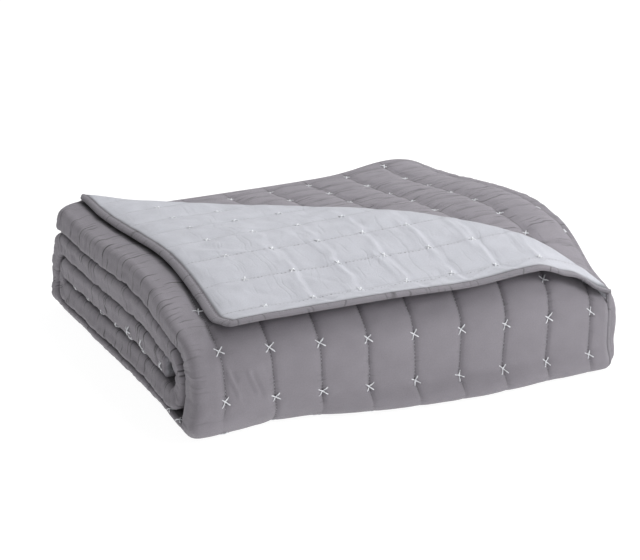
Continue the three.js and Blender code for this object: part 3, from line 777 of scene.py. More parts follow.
def write(made, **layers):
    """Stores layers of values at the points of a piece, with one number or three each."""
    for name, values in layers.items():
        values = np.asarray(values, np.float32)
        kind, key = ("FLOAT", "value") if values.ndim == 1 else ("FLOAT_VECTOR", "vector")
        layer = made.data.attributes.new(name, kind, "POINT")
        layer.data.foreach_set(key, values.ravel())


def folded_cloth(material):
    """The strip of three plies, rolled, without what is turned back at its corner."""
    rows = cloth_columns()
    firsts = np.cumsum([0] + [len(s) for _, _, s in rows])
    points = np.concatenate([cloth_points(side, u, s) for side, u, s in rows])
    triangles = []
    for k, (_, _, s) in enumerate(rows):
        n = (k + 1) % len(rows)
        zip_lines(s, rows[n][2], int(firsts[k]), int(firsts[n]), triangles)
    # Each cap is a ladder between the face's lines and those of the reverse behind them.
    half = next(k for k, (side, _, _) in enumerate(rows) if "reverse" in side)
    order = list(range(half)) + list(range(len(rows) - 1, half - 1, -1))
    place = [-column_of(rows[k][0], np.ravel(rows[k][1])[-1]) for k in order]
    ladder = []
    zip_lines(place[:half], place[half:], 0, half, ladder)
    for rung in ladder:
        triangles.append(tuple(int(firsts[order[k]]) for k in rung))
        triangles.append(tuple(int(firsts[order[k] + 1]) - 1 for k in rung[::-1]))
    made = mesh_object("quilted_cloth_folded", points, triangles, material)
    across = np.concatenate([column_of(side, u) + 0 * s for side, u, s in rows])
    along = np.concatenate([s / PITCH for _, _, s in rows])
    inner = ["reverse" in side or "inside" in side for side, _, _ in rows]
    face = np.concatenate([np.full(len(s), 0.0 if hid else 1.0) for (_, _, s), hid in zip(rows, inner)])
    write(
        made,
        cloth=np.stack([across, along, face], 1),
        marks=np.concatenate([marks_of(*row) for row in rows]),
        contact=np.concatenate([contact_of(*row) for row in rows]),
    )
    return made


# The turned corner: a triangle of the top ply mirrored in its fold, so that its pale reverse lies upwards.
TURNED_STEPS = 170
TURNED_LOW = 0.7
TURNED_HIGH = 8.2
TURNED_SHIFT = (0.173, 0.889)
FOLD_ANGLES = np.linspace(90, -90, 15)
FOLD_LAP = 8.0

# Soft wrinkles of the turned corner, each from one place to another in pitches, with its width and height.
TURNED_CREASES = (
    ((0.7, 0.5), (1.5, 0.95), 3.2, 0.8),
    ((1.3, 0.35), (2.2, 0.8), 3.4, 0.9),
    ((2.3, 0.3), (3.1, 0.85), 3.4, 0.9),
    ((3.4, 0.3), (4.1, 0.8), 3.2, 1.0),
    ((4.3, 0.3), (5.1, 0.85), 3.4, 1.0),
    ((5.3, 0.3), (6.1, 0.8), 3.2, 0.9),
    ((6.4, 0.3), (7.1, 0.75), 3.0, 1.0),
    ((1.0, 1.5), (1.6, 1.1), 3.4, -0.6),
    ((2.2, 1.8), (2.9, 1.2), 3.4, -0.7),
    ((0.8, 3.3), (1.8, 2.8), 4.0, 0.7),
    ((1.7, 4.4), (2.6, 3.9), 4.0, 0.7),
    ((0.7, 5.6), (1.6, 5.2), 4.0, 0.6),
)


def turned_grid(x, y):
    """Grid place of a point of the turned corner's upper side, from millimetres of the plain pack."""
    place = in_pack(settle(np.stack([x, y, 0 * x + STACK + TURNED_HIGH], 1)))
    return place[:, 0] - TURNED_SHIFT[0], place[:, 1] - TURNED_SHIFT[1]


def turned_relief(x, y):
    """Relief of the turned corner's pale side: sewn lines along x and soft tubes across them."""
    column, row = turned_grid(x, y)
    to_seam = np.abs(row - np.round(row)) * PITCH
    wander = 0.07 * CROSSWISE(column * 1.1 + 5, row * 1.8) + 0.04 * CROSSWISE(column * 1.1 + 15, row * 4.3)
    to_column = (column + wander - np.round(column + wander)) * PITCH
    px, py = x / PITCH, y / PITCH
    strength = (0.3 + 0.7 * ease((px - 1.2) / 1.6)) * (1 - 0.75 * ease((py - 2.3) / 1.8))
    uneven = np.clip(0.7 + 0.9 * CROSSWISE(np.round(column) * 2.7 + 0.5, row * 2.4), 0.1, 1.2)
    doubled = np.clip(0.5 + 0.9 * CROSSWISE(np.round(column) * 3.3 + 9.5, row * 1.9), 0, 1)
    tube = uneven * np.exp(-((to_column / 3.1) ** 2))
    tube = tube + 0.8 * doubled * np.exp(-(((to_column + 6.8) / 2.6) ** 2))
    tube = tube - 0.5 * np.exp(-(((to_column - 6) / 3.4) ** 2))
    relief = 1.5 * strength * tube - 0.7 * dip(to_seam, 2.0)
    relief = relief + 0.9 * (np.abs(np.sin(np.pi * row)) ** 0.8 - 1)
    relief = relief - 0.5 * np.exp(-(to_seam**2 + to_column**2) / 5.5**2)
    relief = relief - 0.9 * np.abs(SMALL(px * 1.9 + py * 0.6 + 40, py * 1.5 + 12))
    relief = relief + sum(crease(px, py, *each) for each in TURNED_CREASES)
    relief = relief + 1.0 * BROAD(px * 1.1 + 17, py * 1.1) + 0.5 * SMALL(px * 4 + 1, py * 4)
    to_edge = np.minimum(x - TURNED_EDGE_X, y - TURNED_EDGE_Y)
    near_edge = np.exp(-((np.maximum(to_edge, 0) / 8.0) ** 2))
    return relief * (1 - 0.75 * near_edge) - 2.0 * near_edge


def turned_points(x, y, lift=0.0):
    """Points of the turned corner's upper side, raised by lift millimetres over its relief."""
    z = STACK + TURNED_HIGH + turned_relief(x, y) + lift - tip_fall(x, y)
    return settle(np.stack([x, y, z], 1))


def quads(a, b, c, d):
    """Two triangles for each place of four rows of point numbers."""
    return [t for p, q, r, s in zip(a, b, c, d) for t in ((p, q, r), (p, r, s))]


def turned_corner(material):
    """The turned corner as one closed sheet that bends round its fold and laps back under it."""
    n = TURNED_STEPS
    ys = TURNED_EDGE_Y + (FOLD_SUM - TURNED_EDGE_X - TURNED_EDGE_Y) * np.linspace(0, 1, n + 1)
    xs = FOLD_SUM - ys[::-1]
    i, j = np.array([(i, j) for j in range(n + 1) for i in range(n + 1 - j)]).T
    x, y = xs[i], ys[j]
    upper = turned_relief(x, y)
    to_edge = np.maximum(np.minimum(x - TURNED_EDGE_X, y - TURNED_EDGE_Y), 0)
    lower = np.maximum(1.6 * np.exp(-((to_edge / 8.0) ** 2)) + 0.3 * np.minimum(upper, 0), 0)
    fall = tip_fall(x, y)
    points = [np.stack([x, y, STACK + rise - fall], 1) for rise in (TURNED_HIGH + upper, TURNED_LOW + lower)]
    where = [np.stack([x, y], 1)] * 2

    count = len(x)
    number = np.zeros((n + 1, n + 1), int)
    number[i, j] = np.arange(count)
    a, b = i[i + j < n], j[i + j < n]
    here, right, back = number[a, b], number[a + 1, b], number[a, b + 1]
    full = a + b < n - 1
    far = number[a[full] + 1, b[full] + 1]
    face = np.concatenate([np.stack([here, right, back], 1), np.stack([right[full], far, back[full]], 1)])
    triangles = face.tolist() + (face[:, ::-1] + count).tolist()
    for p, q in ((number[:-1, 0], number[1:, 0]), (number[0, 1:], number[0, :-1])):
        triangles += quads(count + p, count + q, q, p)

    fold = number[np.arange(n + 1), n - np.arange(n + 1)]
    rings = [(fold, fold + count)]
    total = 2 * count
    swelling = upper[fold] * 0.6
    inside = ease((y[fold] - TURNED_EDGE_Y) / 40) * ease((x[fold] - TURNED_EDGE_X) / 40)
    for angle, lap in [(angle, 0) for angle in FOLD_ANGLES[1:]] + [(-90, FOLD_LAP)]:
        a = math.radians(angle)
        swollen = TURNED_HIGH + swelling * max(0, math.cos(a - 0.6)) * (angle > -80)
        beyond = (90 - angle) / 180 * math.pi * TURNED_HIGH / math.sqrt(2) + lap
        for radius in (swollen, TURNED_LOW):
            reach = (radius * math.cos(a) - lap * inside) * math.sqrt(0.5)
            z = STACK + radius * math.sin(a) - fall[fold]
            points.append(np.stack([x[fold] + reach, y[fold] + reach, z], 1))
            where.append(np.stack([x[fold] + beyond, y[fold] + beyond], 1))
        rings.append((total + np.arange(n + 1), total + n + 1 + np.arange(n + 1)))
        total += 2 * (n + 1)
    for (high_a, low_a), (high_b, low_b) in zip(rings, rings[1:]):
        triangles += quads(high_a[:-1], high_a[1:], high_b[1:], high_b[:-1])
        triangles += quads(low_a[:-1], low_b[:-1], low_b[1:], low_a[1:])
        triangles += quads(low_a[:1], high_a[:1], high_b[:1], low_b[:1])
        triangles += quads(low_b[-1:], high_b[-1:], high_a[-1:], low_a[-1:])
    triangles += quads(high_b[:-1], high_b[1:], low_b[1:], low_b[:-1])

    triangles = [tuple(int(v) for v in t) for t in triangles]
    made = mesh_object("turned_corner", settle(np.concatenate(points)), triangles, material)
    where = np.concatenate(where)
    face = np.zeros(total)
    face[count:2 * count] = 1
    for _, low_ring in rings[1:]:
        face[low_ring] = 1
    across = (FOLD_SUM - where[:, 1]) / PITCH
    along = (LEVEL_5 + FOLD_SUM - where[:, 0] - CORNER_HIGH) / PITCH
    row = turned_grid(*where.T)[1]
    away = np.maximum(where - [TURNED_EDGE_X, TURNED_EDGE_Y] - TAPE_LAP, 0) / [1.8, 3.2]
    # Painted shade in a band along the edges, just inside the tape that laps them.
    write(
        made,
        cloth=np.stack([across, along, face], 1),
        marks=np.stack([row, 1 + 0 * row, 0.5 + 0 * row], 1),
        contact=0.9 * np.exp(-(np.min(away, axis=1) ** 2)),
    )
    return made


# The binding: a folded tape that laps a little over the cloth's edge. Its outline is (reach, rise).
TAPE_HALF = ((-2.2, 2.5), (-1.2, 2.8), (0.1, 1.9), (1.3, 2.9), (3.4, 2.9), (5.4, 2.4), (6.9, 1.5), (7.5, 0.6))
TAPE_OUTLINE = TAPE_HALF + tuple((reach, -rise) for reach, rise in TAPE_HALF[::-1])
TAPE_STEP = 3.0
TAPE_REACH = 7.5
TAPE_LAP = 2.2


class Station:
    """A place along a tape: the cloth's edge, the way the tape reaches out and the way the reverse faces."""

    def __init__(self, at, out, up):
        self.at, self.out, self.up = (np.array(each, float) for each in (at, out, up))

    def point(self, reach, rise):
        return self.at + self.out * reach + self.up * rise


def blended(a, b, steps):
    """Stations between two, with their directions turned evenly."""
    made = []
    for k in range(1, steps):
        t = k / steps
        out = a.out * (1 - t) + b.out * t
        out /= np.linalg.norm(out)
        up = a.up * (1 - t) + b.up * t
        up -= out * up.dot(out)
        made.append(Station(a.at * (1 - t) + b.at * t, out, up / np.linalg.norm(up)))
    return made


TURNED_MIDDLE = (TURNED_LOW + 1.6 + TURNED_HIGH - 2.0) / 2


def turned_middle(x, y):
    """Height of the middle of the turned corner's edge."""
    x, y = np.atleast_1d(np.asarray(x, float)), np.atleast_1d(np.asarray(y, float))
    return float((STACK + TURNED_MIDDLE + 0.4 * (turned_relief(x, y) + 2.0) - tip_fall(x, y))[0])


def round_corner(to):
    """Stations round the turned corner's own corner, up to the edge that faces `to`."""
    made = []
    between = np.array((-1.0, -1.0, 0)) / math.sqrt(2)
    aside = np.array(to, float) - between / math.sqrt(2)
    middle = turned_middle(TURNED_EDGE_X, TURNED_EDGE_Y)
    pivot = np.array((TURNED_EDGE_X + TAPE_LAP, TURNED_EDGE_Y + TAPE_LAP, middle))
    for t in np.linspace(0, 1, 9)[:-1]:
        out = between * (1 - t) + np.array(to, float) * t
        out /= np.linalg.norm(out)
        made.append(Station(pivot + out * TAPE_LAP + aside * 0.2 * (1 - t), out, (0, 0, 1)))
    return made


def over_fold(x, y, side):
    """Stations over the fold at (x, y), where the tape turns over. side is 1 where it runs along y."""
    made = []
    diagonal = np.array((1.0, 1.0, 0)) / math.sqrt(2)
    along = np.array((-side, side, 0)) / math.sqrt(2)
    fall = float(tip_fall(np.array(x), np.array(y)))
    for angle in np.radians(np.arange(90, -61, -10)):
        up = diagonal * math.cos(angle) + np.array((0, 0, math.sin(angle)))
        onward = diagonal * math.sin(angle) - np.array((0, 0, math.cos(angle)))
        at = np.array((x, y, STACK - fall)) + up * TURNED_MIDDLE
        made.append(Station(at, (along - onward) / math.sqrt(2), up))
    return made


def long_stations():
    """The tape of the long side: the turned corner's front edge, then down the strip's right end."""
    front = round_corner((0, -1, 0))
    for x in spread(TURNED_EDGE_X + TAPE_LAP, FREE_EDGE_X - 2, TAPE_STEP):
        front.append(Station((x, TURNED_EDGE_Y, turned_middle(x, TURNED_EDGE_Y)), (0, -1, 0), (0, 0, 1)))
    over = over_fold(FREE_EDGE_X, TURNED_EDGE_Y, -1)
    back = [spread(0, BACK_OUTER, 9)[:-1], spread(BACK_OUTER, LEVEL_1, 5)[:-1]]
    s = np.concatenate(back + [spread(LEVEL_1, FRONT_HIGH + 3, 4)])
    y, z, ny, nz = on_path(s)
    down = []
    for k in range(len(s) - 1, -1, -1):
        depth = PLY / 2 * swell(s[k])
        at = (FREE_EDGE_X, y[k] - ny[k] * depth, max(z[k] - nz[k] * depth, 3.4))
        down.append(Station(at, (1, 0, 0), (0, -ny[k], -nz[k])))
    return front + over + blended(over[-1], down[0], 5) + down


def end_stations():
    """The tape of the end: the turned corner's left edge, then round the plies at the strip's end."""
    side = round_corner((-1, 0, 0))
    for y in spread(TURNED_EDGE_Y + TAPE_LAP, OUTER_END_Y - 2, TAPE_STEP):
        side.append(Station((TURNED_EDGE_X, y, turned_middle(TURNED_EDGE_X, y)), (-1, 0, 0), (0, 0, 1)))
    over = over_fold(TURNED_EDGE_X, OUTER_END_Y, 1)
    end = []
    for x in spread(TURNED_EDGE_X - 8, LEFT_FOLD_X, 5)[:-1]:
        end.append(Station((x, OUTER_END_Y, STACK - PLY / 2), (0, 1, 0), (0, 0, -1)))

    def round_end(x, depth, radius, angles):
        for a in np.radians(angles):
            at = (x + radius * math.cos(a), OUTER_END_Y, STACK - depth + radius * math.sin(a))
            end.append(Station(at, (0, 1, 0), (-math.cos(a), 0, -math.sin(a))))

    round_end(LEFT_FOLD_X, LEFT_RADIUS, LEFT_RADIUS - PLY / 2, np.linspace(90, 270, 11))
    for x in spread(LEFT_FOLD_X, RIGHT_FOLD_X, 9)[1:-1]:
        end.append(Station((x, OUTER_END_Y, STACK - STRIP + PLY / 2), (0, 1, 0), (0, 0, 1)))
    round_end(RIGHT_FOLD_X, RIGHT_DEPTH, (PLY + PLY_GAP) / 2, np.linspace(-90, 90, 9))
    for x in spread(RIGHT_FOLD_X, INNER_EDGE_X, 5)[1:]:
        end.append(Station((x, OUTER_END_Y, STACK - 1.5 * PLY - PLY_GAP), (0, 1, 0), (0, 0, -1)))
    return side + over + blended(over[-1], end[0], 5) + end


def tape_length(stations):
    middles = settle(np.array([s.point(TAPE_REACH / 2, 0) for s in stations])) * 1000
    return np.concatenate([[0], np.cumsum(np.linalg.norm(np.diff(middles, axis=0), axis=1))])


def tape(name, stations, material, seed, join):
    """A tape swept along its stations, a little wavy, puckered at its stitches and with a join in it."""
    wavy = Wander(seed)
    run = tape_length(stations)
    points = []
    for station, length in zip(stations, run):
        wave = 0.5 * wavy(length / 31, 0.5) / TAPE_REACH
        wide = 1 + 0.035 * wavy(length / 17, 4.5)
        pinch = 1 - 0.1 * abs(wavy(length / 3.1, 9.5))
        for reach, rise in TAPE_OUTLINE:
            squeezed = rise * (pinch if reach < 1 else 1) + wave * max(reach, 0)
            points.append(station.point(reach * wide if reach > 1 else reach, squeezed))
    points = np.array(points)
    points[:, 2] = np.maximum(points[:, 2], 0.3)
    size = len(TAPE_OUTLINE)
    count = len(stations)
    faces = []
    for k in range(0, (count - 1) * size, size):
        for m in range(size):
            n = (m + 1) % size
            faces.append((k + m, k + size + m, k + size + n, k + n))
    faces.append(tuple(range(size))[::-1])
    faces.append(tuple(range((count - 1) * size, count * size)))
    made = mesh_object(name, settle(points), faces, material)
    sides = [math.dist(a, b) for a, b in zip(TAPE_OUTLINE, TAPE_OUTLINE[1:])]
    around = np.tile(np.cumsum([0] + sides), count)
    inner = np.tile([reach + TAPE_LAP for reach, _ in TAPE_OUTLINE], count)
    along = np.repeat(run, size)
    # The marks' column puts the tape's seam shade at its inner edge: a dark sewn line plus painted shade where
    # the tape laps the cloth. The last layer is a dark join line across the tape.
    write(
        made,
        cloth=np.stack([around / PITCH, along / PITCH, 0 * around], 1),
        marks=np.stack([inner / PITCH, 1 + 0 * along, 0 * along + 0.9], 1),
        contact=np.exp(-(((along - join + 0.3 * inner) / 1.6) ** 2)),
    )
    return made


# Threads. A strand is a row of places with a radius at each of them.
def strands(name, centres, radii, sides, material):
    """One mesh of many strands: centres is (strand, place, axis) and radii (strand, place), in metres."""
    centres = np.asarray(centres, float)
    radii = np.asarray(radii, float)
    count, length, _ = centres.shape
    way = np.empty_like(centres)
    way[:, 1:-1] = centres[:, 2:] - centres[:, :-2]
    way[:, 0] = centres[:, 1] - centres[:, 0]
    way[:, -1] = centres[:, -1] - centres[:, -2]
    way /= np.linalg.norm(way, axis=2, keepdims=True)
    whole = centres[:, -1] - centres[:, 0]
    steep = np.abs(whole[:, 2:3]) > 0.7 * np.linalg.norm(whole, axis=1, keepdims=True)
    helper = np.where(steep, [[0.3, 1.0, 0]], [[0, 0.2, 1.0]])
    across = np.cross(way, helper[:, None, :])
    across /= np.linalg.norm(across, axis=2, keepdims=True)
    up = np.cross(across, way)
    angles = (np.arange(sides) * 2 * math.pi / sides)[:, None]
    ring = across[:, :, None] * np.cos(angles) + up[:, :, None] * np.sin(angles)
    points = centres[:, :, None] + ring * radii[:, :, None, None]
    m = np.arange(sides)
    n = (m + 1) % sides
    band = np.stack([m, n, sides + n, sides + m], 1)
    starts = np.arange(count * length).reshape(count, length) * sides
    faces = (starts[:, :-1, None, None] + band).reshape(-1, 4).tolist()
    faces += (starts[:, :1] + m[::-1]).tolist() + (starts[:, -1:] + m).tolist()
    return mesh_object(name, points.reshape(-1, 3), faces, material)


def plain_place(column, row, height):
    """The plain pack's x and y in millimetres that settle at a place in pitches, on a plane at height."""
    x, y = column * PITCH, row * PITCH
    for _ in range(6):
        here = in_pack(settle(np.array([[x, y, height]])))[0]
        x += (column - here[0]) * PITCH
        y += (row - here[1]) * PITCH
    return x, y


# The path's length where each layer starts, the y there, and the way it runs.
LEVEL_STARTS = {
    1: (LEVEL_1, BACK_TURN_Y, -1),
    3: (LEVEL_3, INNER_END_Y, 1),
    4: (LEVEL_4, FRONT_TURN_Y, 1),
    5: (LEVEL_5, CORNER_HIGH, 1),
}


def on_level(level, y):
    """Length along the path of a place y in millimetres on a layer."""
    start, from_y, way = LEVEL_STARTS[level]
    return start + way * (y - from_y)


def at_top(y):
    return on_level(5, y)


def middle_place(column, row):
    """The plain pack's x and y of a grid point of the middle ply's face."""
    px, py = turned_by(-MIDDLE_TURN, column, row)
    return plain_place(px - MIDDLE_SHIFT[0], py - MIDDLE_SHIFT[1], STACK - PLY - PLY_GAP)


def on_side(side, u, s, mm_per_unit=1.0):
    """A place on the folded cloth: a function of steps across and along and of a lift, in millimetres."""
    return lambda du, ds, lift: cloth_points(side, u + du / mm_per_unit, s + ds, lift)


def on_turned(x, y):
    return lambda du, ds, lift: turned_points(x + du, y + ds, lift)


LEFT_MM_PER_DEGREE = math.radians(1) * LEFT_RADIUS

# Cross stitches on the rounded left end: a layer, the angle they stand at and their places in pitches.
LEFT_STITCHES = (
    (1, 262, (7.6, 6.75, 5.9, 5.0, 4.1, 3.2, 2.3)),
    (1, 236, (1.41, 0.9)),
    (3, 229, (7.6, 6.7, 5.75, 4.8, 3.86, 3.02)),
    (3, 192, (3.95, 3.1, 1.97)),
    (4, 262, (7.7, 6.8, 5.85, 4.9, 4.0, 3.1, 2.2)),
    (5, 262, (7.9, 6.95, 6.0, 5.05, 4.1, 3.15, 2.2, 1.25)),
)


def outer_place(column, row):
    """Place x and length s of a grid point of the outer side."""
    low, high, top = (float(np.interp(column, FRONT_ROWS[0], each)) for each in FRONT_ROWS[1:4])
    s = low + row * PITCH if row < 0 else low + row * (high - low)
    if row > 1:
        s = high + (row - 1) * (top - high) if row <= 2 else top + (row - 2) * PITCH
    return float(seam_x(column, np.array([s]))[0]), s


def cross_places():
    """Every cross stitch as (its surface, its size)."""
    places = []
    lowest = -int((FRONT_LOW - BACK_OUTER) / PITCH) - 1
    for column in range(LAST_COLUMN + 1):
        for row in range(lowest, 10):
            x, s = outer_place(column, row)
            hidden = row > 1 and s > LEVEL_5 - 6 and (column > 0 or x > TURNED_EDGE_X - 6)
            if BACK_OUTER - 20 < s < outer_end_of(x) - 9 and not hidden:
                places.append((on_side("outer", x, s), 1.0))
    for column in range(0, LAST_COLUMN + 1):
        for row in range(0, 9):
            x, y = plain_place(column + TURNED_SHIFT[0], row + TURNED_SHIFT[1], STACK + TURNED_HIGH)
            if x > TURNED_EDGE_X + 8 and y > TURNED_EDGE_Y + 8 and x + y < FOLD_SUM - 9:
                places.append((on_turned(x, y), 0.72))
    for column in range(2, LAST_COLUMN + 3):
        for row in range(0, 10):
            x, y = middle_place(column, row)
            if x + y > FOLD_SUM + 14 and y < OUTER_END_Y - 9 and x < RIGHT_FOLD_X - 4:
                places.append((on_side("middle", x, at_top(y)), 0.68))
    for level, angle, ys in LEFT_STITCHES:
        for y in ys:
            places.append((on_side("left", angle, on_level(level, y * PITCH), -LEFT_MM_PER_DEGREE), 0.9))
    return places


CROSS_REACH = 6.7
CROSS_PLACES = 9


def cross_stitches(material):
    """Cross stitches of thick loose thread: two strokes each, of two strands laid round each other."""
    rng = np.random.default_rng(41)
    centres = []
    radii = []
    t = np.linspace(-1, 1, CROSS_PLACES)
    arch = 1 - t**4
    for place, size in cross_places():
        turn = math.radians(rng.normal(0, 5))
        for stroke in (0, 1):
            angle = math.radians((57, -38)[stroke]) + turn + math.radians(rng.normal(0, 4))
            reach = CROSS_REACH * size * rng.uniform(0.9, 1.1)
            shift = rng.normal(0, 0.3, 2)
            phase = rng.uniform(0, 6)
            for strand in (0, 1):
                twist = phase + strand * math.pi + t * 3.4
                sideways = 0.34 * np.cos(twist)
                du = reach * t * math.cos(angle) - sideways * math.sin(angle) + shift[0]
                ds = reach * t * math.sin(angle) + sideways * math.cos(angle) + shift[1]
                lift = -0.5 + (1.3 + 0.2 * np.sin(twist) + 0.5 * stroke * np.exp(-((t / 0.25) ** 2))) * arch
                lift = lift - 1.2 * (1 - size)
                centres.append(place(du, ds, lift))
                radii.append((0.46 + 0.04 * rng.normal()) * (0.5 + 0.5 * arch) / 1000)
    return strands("cross_stitches", centres, radii, 6, material)


DASH = 2.3
DASH_SPACING = 4.1
DASH_RADIUS = 0.34


def dash_centres(line, start, stop, rng):
    """Running stitches along a line, a function of lengths and lifts in millimetres."""
    t = np.arange(start + 2, stop - 2, DASH_SPACING)
    if not len(t):
        return np.zeros((0, 3, 3))
    t = t + rng.normal(0, 0.3, len(t))
    depth = rng.uniform(-0.35, 0.1, len(t))
    rows = [line(t + (k - 1) * DASH / 2, depth + lift) for k, lift in enumerate((-0.1, 0.25, -0.1))]
    return np.stack(rows, 1)


def seam_lines():
    """Every sewn line that shows, as (line, start, stop)."""
    lines = []
    for column in range(LAST_COLUMN + 1):
        x0, low = outer_place(column, -1.2)
        end = outer_end_of(x0) if column else at_top(2.1 * PITCH)

        def up_front(t, lift, column=column):
            return cloth_points("outer", seam_x(column, t), t, lift)

        if column == 1:
            lines.append((up_front, BACK_OUTER, end - 2))
        else:
            lines += [(up_front, BACK_OUTER, low), (up_front, low + PITCH, end - 2)]
    for row in range(0, 9):
        x0, y0 = plain_place(0.5, row + TURNED_SHIFT[1], STACK + TURNED_HIGH)
        x1, y1 = plain_place(8.4 - row, row + TURNED_SHIFT[1], STACK + TURNED_HIGH)
        slope = (y1 - y0) / (x1 - x0)

        def along_row(t, lift, x0=x0, y0=y0, slope=slope):
            return turned_points(t, y0 + slope * (t - x0), lift)

        stop = (FOLD_SUM - 3 - y0 + slope * x0) / (1 + slope)
        if stop > TURNED_EDGE_X + 10:
            lines.append((along_row, TURNED_EDGE_X + 3, stop))
    for column in range(2, LAST_COLUMN + 3):
        x0, y0 = middle_place(column, 0.0)
        x1, y1 = middle_place(column, 9.0)
        slope = (x1 - x0) / (y1 - y0)

        def back_over_top(t, lift, x0=x0, y0=y0, slope=slope):
            return cloth_points("middle", x0 + slope * (t - y0), at_top(t), lift)

        leaves = y0 + (RIGHT_FOLD_X - 6 - x0) / slope
        start = max((FOLD_SUM + 6 - x0 + slope * y0) / (1 + slope), CORNER_HIGH, leaves)
        if start < OUTER_END_Y - 4:
            lines.append((back_over_top, start, OUTER_END_Y - 4))
    return lines


def tape_seam(stations, side):
    """The line sewn along a tape's inner edge, on the cloth's reverse for 1 and on its face for -1."""
    run = tape_length(stations)
    rows = np.array([[*station.point(0.1, 1.95 * side), *(station.up * side)] for station in stations])

    def line(t, lift):
        here = np.stack([np.interp(t, run, row) for row in rows.T], 1)
        return settle(here[:, :3] + here[:, 3:] * lift[:, None])

    return line, 0, run[-1]


def seam_thread(name, lines, seed, material):
    rng = np.random.default_rng(seed)
    centres = np.concatenate([dash_centres(line, start, stop, rng) for line, start, stop in lines])
    radii = np.tile(np.array([0.5, 1.0, 0.5]) * DASH_RADIUS / 1000, (len(centres), 1))
    return strands(name, centres, radii, 4, material)


# Materials. Coordinates come from the cloth itself: pitches across and along it.
def reckoned(operation):
    return lambda *terms: terms[0].nodes.math(operation, *terms)


class Term:
    """A value in a node tree that others are reckoned from."""

    def __init__(self, nodes, socket):
        self.nodes = nodes
        self.socket = socket

    __add__ = reckoned("ADD")
    __sub__ = reckoned("SUBTRACT")
    __mul__ = reckoned("MULTIPLY")
    __truediv__ = reckoned("DIVIDE")
    __abs__ = reckoned("ABSOLUTE")
    __round__ = reckoned("ROUND")

    def ramp(self, low, high, to_low=0.0, to_high=1.0):
        limits = {"From_Min": low, "From_Max": high, "To_Min": to_low, "To_Max": to_high}
        return self.nodes.add("MapRange", Value=self, **limits)["Result"]


class Nodes:
    """A helper that adds and joins the nodes of a material or of the world."""

    def __init__(self, owner, shader="Principled BSDF"):
        owner.use_nodes = True
        self.owner = owner
        self.tree = owner.node_tree
        self.shader = self.tree.nodes[shader]

    def put(self, socket, value):
        if isinstance(value, Term):
            self.tree.links.new(value.socket, socket)
        else:
            socket.default_value = value

    def add(self, kind, *values, **named):
        """A new node's outputs by name. A named value is a setting, or with a capital an input."""
        node = self.tree.nodes.new("ShaderNode" + kind)
        for key, value in named.items():
            if key[0].islower():
                setattr(node, key, value)
            else:
                self.put(node.inputs[key.replace("_", " ")], value)
        for socket, value in zip(node.inputs, values):
            self.put(socket, value)
        return {each.name: Term(self, each) for each in node.outputs if not each.is_unavailable}

    def surface(self, **inputs):
        for key, value in inputs.items():
            self.put(self.shader.inputs[key.replace("_", " ")], value)

    def math(self, operation, *values):
        return self.add("Math", *values, operation=operation)["Value"]

    def mix(self, factor, a, b, blend="MIX"):
        return self.add("Mix", data_type="RGBA", blend_type=blend, Factor=factor, A=a, B=b)["Result"]

    def noise(self, vector, scale, detail=3.0, roughness=0.6):
        return self.add("TexNoise", Vector=vector, Scale=scale, Detail=detail, Roughness=roughness)["Fac"]

    def flat(self, across, along):
        return self.add("CombineXYZ", X=across, Y=along)["Vector"]

    def grey(self, shade):
        return self.add("CombineColor", Red=shade, Green=shade, Blue=shade)["Color"]

    def stored(self, name):
        """The three values that a layer of the mesh holds."""
        layer = self.add("Attribute", attribute_name=name)["Vector"]
        return self.add("SeparateXYZ", Vector=layer).values()


THREADS_PER_PITCH = 62.0
PAINTED_SHADE_AND_JOIN_DARKEST = 0.3


def puckers(nodes, across, along, per_pitch, width, reach):
    """Thin lines across the cloth, in many random places along it, each with a stretch of its own."""
    cells = nodes.add("TexVoronoi", voronoi_dimensions="1D", W=along, Scale=per_pitch, Randomness=1.0)
    first, second, third = nodes.add("SeparateColor", Color=cells["Color"]).values()
    share = nodes.math("FRACT", across - first.ramp(0.0, 1.0, -1.15, 0.35) + 50.0)
    half = second.ramp(0.0, 1.0, reach * 0.4, reach)
    window = (abs(share - 0.5) - half).ramp(-0.12, 0.04, 1.0, 0.0)
    line = (cells["Distance"] / per_pitch).ramp(width * 0.25, width, 1.0, 0.0)
    return line * window * third.ramp(0.0, 1.0, 0.35, 1.0)


def creases(nodes, across, along):
    """Fine puckers that run across the cloth, long single ones and short ones in groups."""
    bend = nodes.noise(nodes.flat(across, along), 2.4, 1.0, 0.4) * 0.22
    bent = along + bend + nodes.math("SINE", across * 4.0) * 0.05
    group = nodes.noise(nodes.flat(across * 0.7, along), 1.9, 1.0)
    long_ones = puckers(nodes, across, bent, 2.3, 0.03, 0.5)
    short_ones = puckers(nodes, across, bent, 7.0, 0.022, 0.3) * group.ramp(0.48, 0.56)
    return nodes.math("MAXIMUM", long_ones, short_ones)


